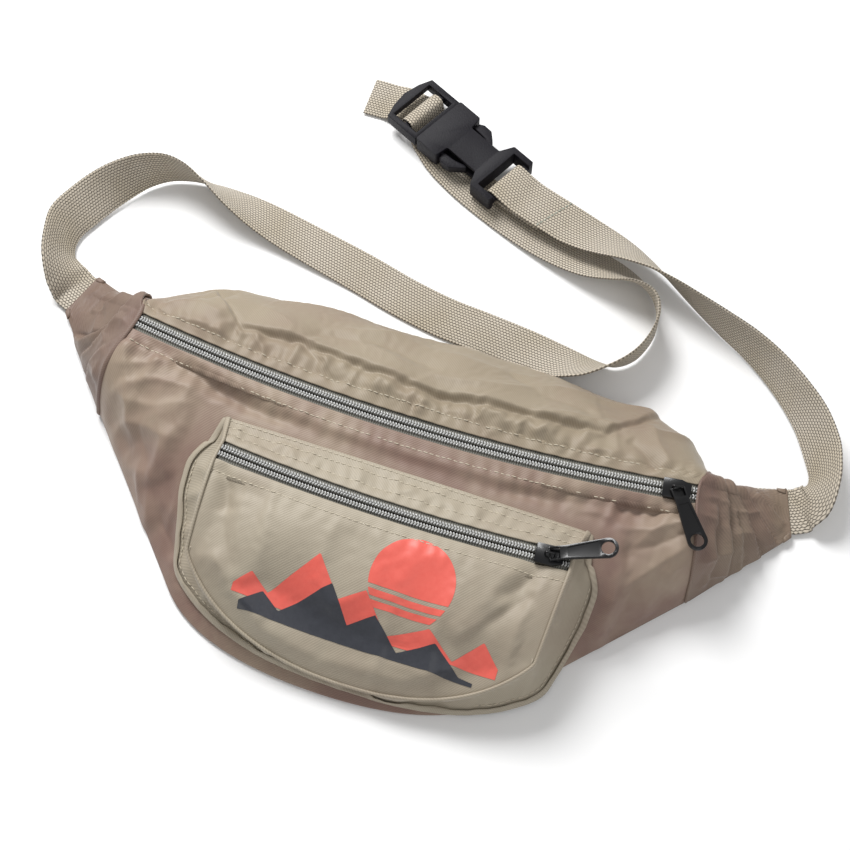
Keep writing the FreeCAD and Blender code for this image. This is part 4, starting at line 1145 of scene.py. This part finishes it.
def webbingFrames(centres, rolls, levels=None):
    along = unit(np.gradient(centres, axis=0))
    level = unit(np.cross(np.array([0, 0, 1.0]), along)) if levels is None else levels
    upward = unit(np.cross(along, level))
    turn = np.radians(rolls)[:, None]
    across = level * np.cos(turn) + upward * np.sin(turn)
    return across, unit(np.cross(along, across))


def tableStrap(points):
    # every (x, y, lift, roll) gets the height that its roll needs, so that no edge goes below the table
    w = webSizes
    fine = catmull([(x, y, lift + w["width"] / 2 * abs(math.sin(math.radians(roll))) + w["thick"] / 2, roll)
                    for x, y, lift, roll in points], 12)
    reach = lengthAlong(fine[:, :3])
    target = np.linspace(0, reach[-1], int(reach[-1] / w["step"]) + 1)
    even = atLengths(fine, reach, target)
    across, out = webbingFrames(even[:, :3], even[:, 3])
    return even[:, :3], across, out, target


def ribbon(name, centres, across, out, reach):
    w = webSizes
    profile = [(-1, 0), (-0.985, 0.55), (-0.93, 0.9), (-0.6, 1), (-0.3, 1), (0, 1), (0.3, 1), (0.6, 1),
               (0.93, 0.9), (0.985, 0.55), (1, 0)]
    loop = profile + [(a, -b) for a, b in profile[-2:0:-1]]
    wave = np.abs(np.sin(math.pi * reach / w["scallop"]))
    half = w["width"] / 2 - w["scallopDepth"] * (1 - wave)
    rows = [centres[k] + np.array([a * half[k] * across[k] + b * w["thick"] / 2 * out[k] for a, b in loop])
            for k in range(len(centres))]
    grid = np.stack(rows)
    count, cols = grid.shape[:2]
    faces = gridFaces(count, cols, cols)
    faces += [tuple(range(cols))[::-1], tuple((count - 1) * cols + j for j in range(cols))]
    obj = meshObject(name, grid.reshape(-1, 3), faces, beltWebbing)
    uv = np.zeros((count * cols, 2))
    uv[:, 0] = np.repeat(reach, cols)
    uv[:, 1] = np.tile([a * w["width"] / 2 for a, b in loop], count)
    clothMap(obj, uv)
    closeShape(obj)
    return obj


# buckle
buckle = {"thick": 10.0, "place": (3.5, 201.5), "floor": 4.2, "bar": 1.6, "middleBar": 68.0,
          "barWidth": 3.4, "slotNear": 4.5, "tailStart": 45.4}
slideAxis = joints["buckle_release"]["axis"]
buckleHeading = math.atan2(slideAxis[1], slideAxis[0])


def bucklePoint(along, across, z=0.0):
    c, s = math.cos(buckleHeading), math.sin(buckleHeading)
    x, y = buckle["place"]
    return np.array([x + along * c - across * s, y + along * s + across * c,
                     buckle["floor"] + buckle["thick"] / 2 + z])


def buckleWebbing(profile):
    fine = catmull(profile, 16)
    points = np.array([bucklePoint(a, c, z) for a, c, z, _ in fine])
    heading = buckleHeading + np.radians(fine[:, 3])
    levels = np.stack([-np.sin(heading), np.cos(heading), 0 * heading], -1)
    return points, webbingFrames(points, np.zeros(len(points)), levels)[0]


def joinStraps(first, second, blendOver):
    # one strap from two: the directions turn and the middle line bends softly over the join
    centres = np.concatenate([first[0], second[0]])
    across = np.concatenate([first[1], second[1]])
    reach = lengthAlong(centres)
    target = np.linspace(0, reach[-1], int(reach[-1] / webSizes["step"]) + 1)
    even, turned = atLengths(centres, reach, target), atLengths(across, reach, target)
    middle = reach[len(first[0])]
    near = np.abs(target - middle) < blendOver
    for _ in range(60):
        for field in (even, turned):
            soft = field.copy()
            soft[1:-1] = (field[:-2] + field[1:-1] + field[2:]) / 3
            field[near] = soft[near]
    along = unit(np.gradient(even, axis=0))
    turned = unit(turned - along * (turned * along).sum(-1, keepdims=True))
    return even, turned, unit(np.cross(along, turned)), target


b = buckle
mid, over = b["middleBar"] + b["barWidth"] / 2, b["bar"] + webSizes["thick"] / 2 + 0.5
table = webSizes["thick"] / 2 + 0.2 - b["floor"] - b["thick"] / 2
tail = buckleWebbing([
    (b["tailStart"], 9.0, table, -8), (52, 7.0, table, -11), (58, 5.0, table + 0.6, -11),
    (62.4, 2.2, table + 2.2, -8), (65, 1.0, table + 5.8, -3), (66.6, 0.4, over - 1.5, 0),
    (mid - 1.6, 0.2, over, 0), (mid + 1.6, 0.0, over, 0), (73.6, 0.0, over - 1.6, 0), (75, 0.0, -1.6, 1),
    (77, 0.0, -4.6, 3), (81, 0.6, -5.6, 7), (87, 2.0, -6.4, 14), (93, 4.4, table, 21), (99, 7.4, table, 25),
    (104, 10.0, table, 25)])
centres, across, out, reach = tableStrap(longStrap)
facing = np.sign((across[-1] * tail[1][0]).sum())
centres, across, out, reach = joinStraps((centres, across * facing), tail, 9.0)
bendPoint = np.array([103.5, 145])  # the strap is cut into two pieces at its loop
cut = int(np.argmin(np.linalg.norm(centres[:, :2] - bendPoint, axis=1)))
beltLeft = ribbon("beltLongFromWing", centres[:cut + 1], across[:cut + 1], out[:cut + 1], reach[:cut + 1])
beltRun = ribbon("beltLongToTail", centres[cut:], across[cut:], out[cut:], reach[cut:])
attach(beltLeft, "bag")
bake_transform(beltRun)
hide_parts("belt_long")
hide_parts("belt_long", "belt_tail")
mid, over = b["slotNear"] / 2 + 0.2, b["bar"] + webSizes["thick"] / 2 + 0.35
gap = webSizes["thick"] / 2 + 0.15
sewnLoop = [(-22, -1.8, gap + 0.2), (-12, -0.6, gap + 0.2), (-6, 0, over * 0.75), (mid - 1.5, 0, over),
            (mid + 1.3, 0, over), (b["slotNear"] + 1.3, 0, over * 0.7), (b["slotNear"] + 1.8, 0, 0.0),
            (b["slotNear"] + 1.3, 0, -over * 0.7), (mid + 1.3, 0, -over), (mid - 1.5, 0, -over),
            (-6, 0, -over * 0.75), (-12, -0.4, -gap - 0.2), (-20, -1.4, -gap - 0.4), (-27, -2.8, -gap - 0.7)]
loop = buckleWebbing([(a, c, z, -2.5 * c) for a, c, z in sewnLoop])
shortLine = tableStrap(shortStrap)
facing = np.sign((shortLine[1][-1] * loop[1][0]).sum())
lifted = shortLine[0].copy()
lifted[:, 2] += 1.75 * smooth((shortLine[3] - shortLine[3][-1] + 30) / 30)
beltShort = ribbon("beltShortSewn", *joinStraps((lifted, shortLine[1] * facing), loop, 8.0))
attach(beltShort, "bag")
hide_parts("belt_short", "belt_sewn_loop")
# the row of stitches that closes the sewn loop, a little askew
tackRow = [bucklePoint(-30.0 + 0.16 * c, c - 3.2, gap + 0.95) for c in np.linspace(-11.3, 11.3, 24)]
tack = pieceRow("sewnLoopStitches", [tackRow], 2.4, (2.2, 0.8, 0.6), 0.0, 0.15, tackThread)
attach(tack, "bag")
print("belt laid")


# moulded and cast parts: the CAD shapes with their edges rounded
def roundedCopy(node, body, material, radius):
    source = cadNodes[node]
    mesh = source.data.copy()
    mesh.materials.clear()
    mesh.materials.append(material)
    obj = bpy.data.objects.new(node.replace("_", " ").title().replace(" ", "") + "Finished", mesh)
    scene.collection.objects.link(obj)
    shape = bmesh.new()
    shape.from_mesh(mesh)
    bmesh.ops.remove_doubles(shape, verts=shape.verts, dist=0.00002)
    bmesh.ops.dissolve_limit(shape, angle_limit=math.radians(3), verts=shape.verts, edges=shape.edges)
    shape.to_mesh(mesh)
    shape.free()
    bevel = obj.modifiers.new("rounded", "BEVEL")
    bevel.width = radius * 0.001
    bevel.segments = 2
    bevel.limit_method = "ANGLE"
    bevel.angle_limit = math.radians(35)
    bevel.use_clamp_overlap = True
    bevel.harden_normals = True
    for polygon in mesh.polygons:
        polygon.use_smooth = True
    applyModifiers(obj)
    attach(obj, body)
    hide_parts(node)


for node, body, radius in (("main_slider", "main_slider", 0.35), ("pocket_slider", "pocket_slider", 0.35),
                           ("main_slider_bail", "main_slider", 0.25),
                           ("pocket_slider_bail", "pocket_slider", 0.25),
                           ("main_pull", "main_pull", 0.3), ("pocket_pull", "pocket_pull", 0.3)):
    roundedCopy(node, body, blackEnamel, radius)
for node, body, radius in (("buckle_female", "bag", 0.8), ("buckle_male", "buckle_male", 0.6),
                           ("buckle_arm_left", "buckle_arm_left", 0.5),
                           ("buckle_arm_right", "buckle_arm_right", 0.5)):
    roundedCopy(node, body, acetal, radius)
cadNodes["seam_binding"].data.materials.clear()
cadNodes["seam_binding"].data.materials.append(bindingCloth)
print("buckle and sliders finished")


# print on the pocket: a sun over mountains
printSizes = {"middle": (10.0, -56.0), "scale": 1.22, "sun": 21.0, "sunPlace": (22, 8), "drop": 3.0,
              "proud": 0.16}
# screen-printed ink lies thinly on the cloth, smoother than it is
coralInk = plainFinish("coralInk", {"Roughness": 0.45, "IOR": 1.5}, "#DC5A4E", "#E4685B", 0.002, 0.15)
slateInk = plainFinish("slateInk", {"Roughness": 0.4, "IOR": 1.5}, "#2F3138", "#3C3E45", 0.002, 0.15)


def printOn(name, patches, material, proud):
    tree = BVHTree.FromObject(pocketFace, bpy.context.evaluated_depsgraph_get())
    vertices, faces = [], []
    for patch in patches:
        rows, cols = patch.shape[:2]
        first = len(vertices)
        for x, y in patch.reshape(-1, 2):
            hit = tree.ray_cast(Vector((x * 0.001, y * 0.001, 0.2)), Vector((0, 0, -1)))[0]
            vertices.append((x, y, hit.z * 1000 + proud if hit else 40.0))
        faces += [(first + i * cols + j, first + i * cols + j + 1, first + (i + 1) * cols + j + 1,
                   first + (i + 1) * cols + j) for i in range(rows - 1) for j in range(cols - 1)]
    obj = meshObject(name, vertices, faces, material)
    shape = bmesh.new()
    shape.from_mesh(obj.data)
    bmesh.ops.remove_doubles(shape, verts=shape.verts, dist=1e-6)
    for polygon in shape.faces:
        polygon.normal_update()
        if polygon.normal.z < 0:
            polygon.normal_flip()
    shape.to_mesh(obj.data)
    shape.free()
    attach(obj, "bag")


def columnPatch(xs, low, high):
    # a patch of upright columns between two lines
    rows = 36
    t = np.linspace(0, 1, rows)[:, None]
    return np.stack([np.broadcast_to(xs, (rows, len(xs))), mix(low[None], high[None], t)], -1)


def ridge(xs, peaks):
    return np.interp(xs, [p[0] for p in peaks], [p[1] for p in peaks])


def sunPatches():
    # a disc with two bars below it
    centreX, centreY = np.array(printSizes["middle"]) + np.array(printSizes["sunPlace"])
    radius, rows = printSizes["sun"], 30
    patches = []
    for low, high in ((-6, radius * 0.9985), (-11, -8), (-15.5, -12.6)):
        ys = np.linspace(low, high, rows)
        halfWidth = np.sqrt(np.maximum(radius ** 2 - ys ** 2, 0.02))
        t = np.linspace(-1, 1, 50)
        patches.append(np.stack([centreX + halfWidth[:, None] * t[None],
                                 np.broadcast_to(centreY + ys[:, None], (rows, 50))], -1))
    return patches


farPeaks = [(-52, -13), (-44, -5), (-36, -10), (-20, 9), (-8, -5), (2, 1), (14, -12), (30, -5), (42, -13),
            (52, -3), (62, -12)]
nearPeaks = [(-48, -18), (-38, -10), (-30, -15), (-12, 0), (-2, -12), (8, -6), (20, -16), (34, -9), (46, -17),
             (56, -18)]
middleX, middleY = printSizes["middle"]
baseY, k = middleY - printSizes["drop"], printSizes["scale"]
xs = np.linspace(-50, 60, 175)
foot = np.maximum(-14.0, ridge(xs, nearPeaks) - 0.5)
hills = columnPatch(middleX + xs * k, baseY + foot * k,
                    baseY + np.maximum(ridge(xs, farPeaks), foot + 0.1) * k)
xs = np.linspace(-46, 52, 157)
slate = columnPatch(middleX + xs * k, baseY - 19.0 * k + 0 * xs,
                    baseY + np.maximum(ridge(xs, nearPeaks), -18.5) * k)
printOn("pocketPrintSun", sunPatches(), coralInk, printSizes["proud"])
printOn("pocketPrintHills", [hills], coralInk, printSizes["proud"] + 0.03)
printOn("pocketPrintMountains", [slate], slateInk, printSizes["proud"] + 0.07)
print("print laid on the pocket")


# floor, light and camera
floorMaterial, _, floorShader = startMaterial("whitePaper", {"Roughness": 0.9, "Specular IOR Level": 0.1})
floorShader.inputs["Base Color"].default_value = hexToLinear("#F4F4F4")
floorMesh = bpy.data.meshes.new("floor")
floorMesh.from_pydata([(-4, -4, 0), (4, -4, 0), (4, 4, 0), (-4, 4, 0)], [], [(0, 1, 2, 3)])
floorMesh.transform(Matrix.Translation((0, 0, -0.0006)))
floorMesh.materials.append(floorMaterial)
floor = bpy.data.objects.new("floor", floorMesh)
scene.collection.objects.link(floor)


def areaLight(name, place, aim, size, power):
    light = bpy.data.lights.new(name, "AREA")
    light.shape = "SQUARE"
    light.size = size
    light.energy = power
    obj = bpy.data.objects.new(name, light)
    obj.location = place
    obj.rotation_euler = (Vector(aim) - Vector(place)).to_track_quat("-Z", "Y").to_euler()
    scene.collection.objects.link(obj)


areaLight("windowLight", (-0.7, 0.75, 1.15), (0, 0.05, 0), 0.65, 26)
areaLight("fillLight", (0.9, -0.5, 1.2), (0, 0.05, 0), 1.4, 5)
world = bpy.data.worlds.new("studio")
world.use_nodes = True
world.node_tree.nodes["Background"].inputs["Color"].default_value = hexToLinear("#FFFFFF")
world.node_tree.nodes["Background"].inputs["Strength"].default_value = 0.42
scene.world = world

cameraSizes = {"azimuth": 19.0, "elevation": 65.0, "distance": 0.860, "lens": 69.2,
               "target": (0.0045, 0.051, 0.0)}
azimuth, elevation = math.radians(cameraSizes["azimuth"]), math.radians(cameraSizes["elevation"])
back = Vector((math.sin(azimuth) * math.cos(elevation), -math.cos(azimuth) * math.cos(elevation),
               math.sin(elevation)))
cameraData = bpy.data.cameras.new("camera")
cameraData.lens = cameraSizes["lens"]
cameraData.sensor_width = 36
camera = bpy.data.objects.new("camera", cameraData)
camera.location = Vector(cameraSizes["target"]) + back * cameraSizes["distance"]
camera.rotation_euler = (-back).to_track_quat("-Z", "Y").to_euler()
scene.collection.objects.link(camera)
scene.camera = camera
print("camera and light set")
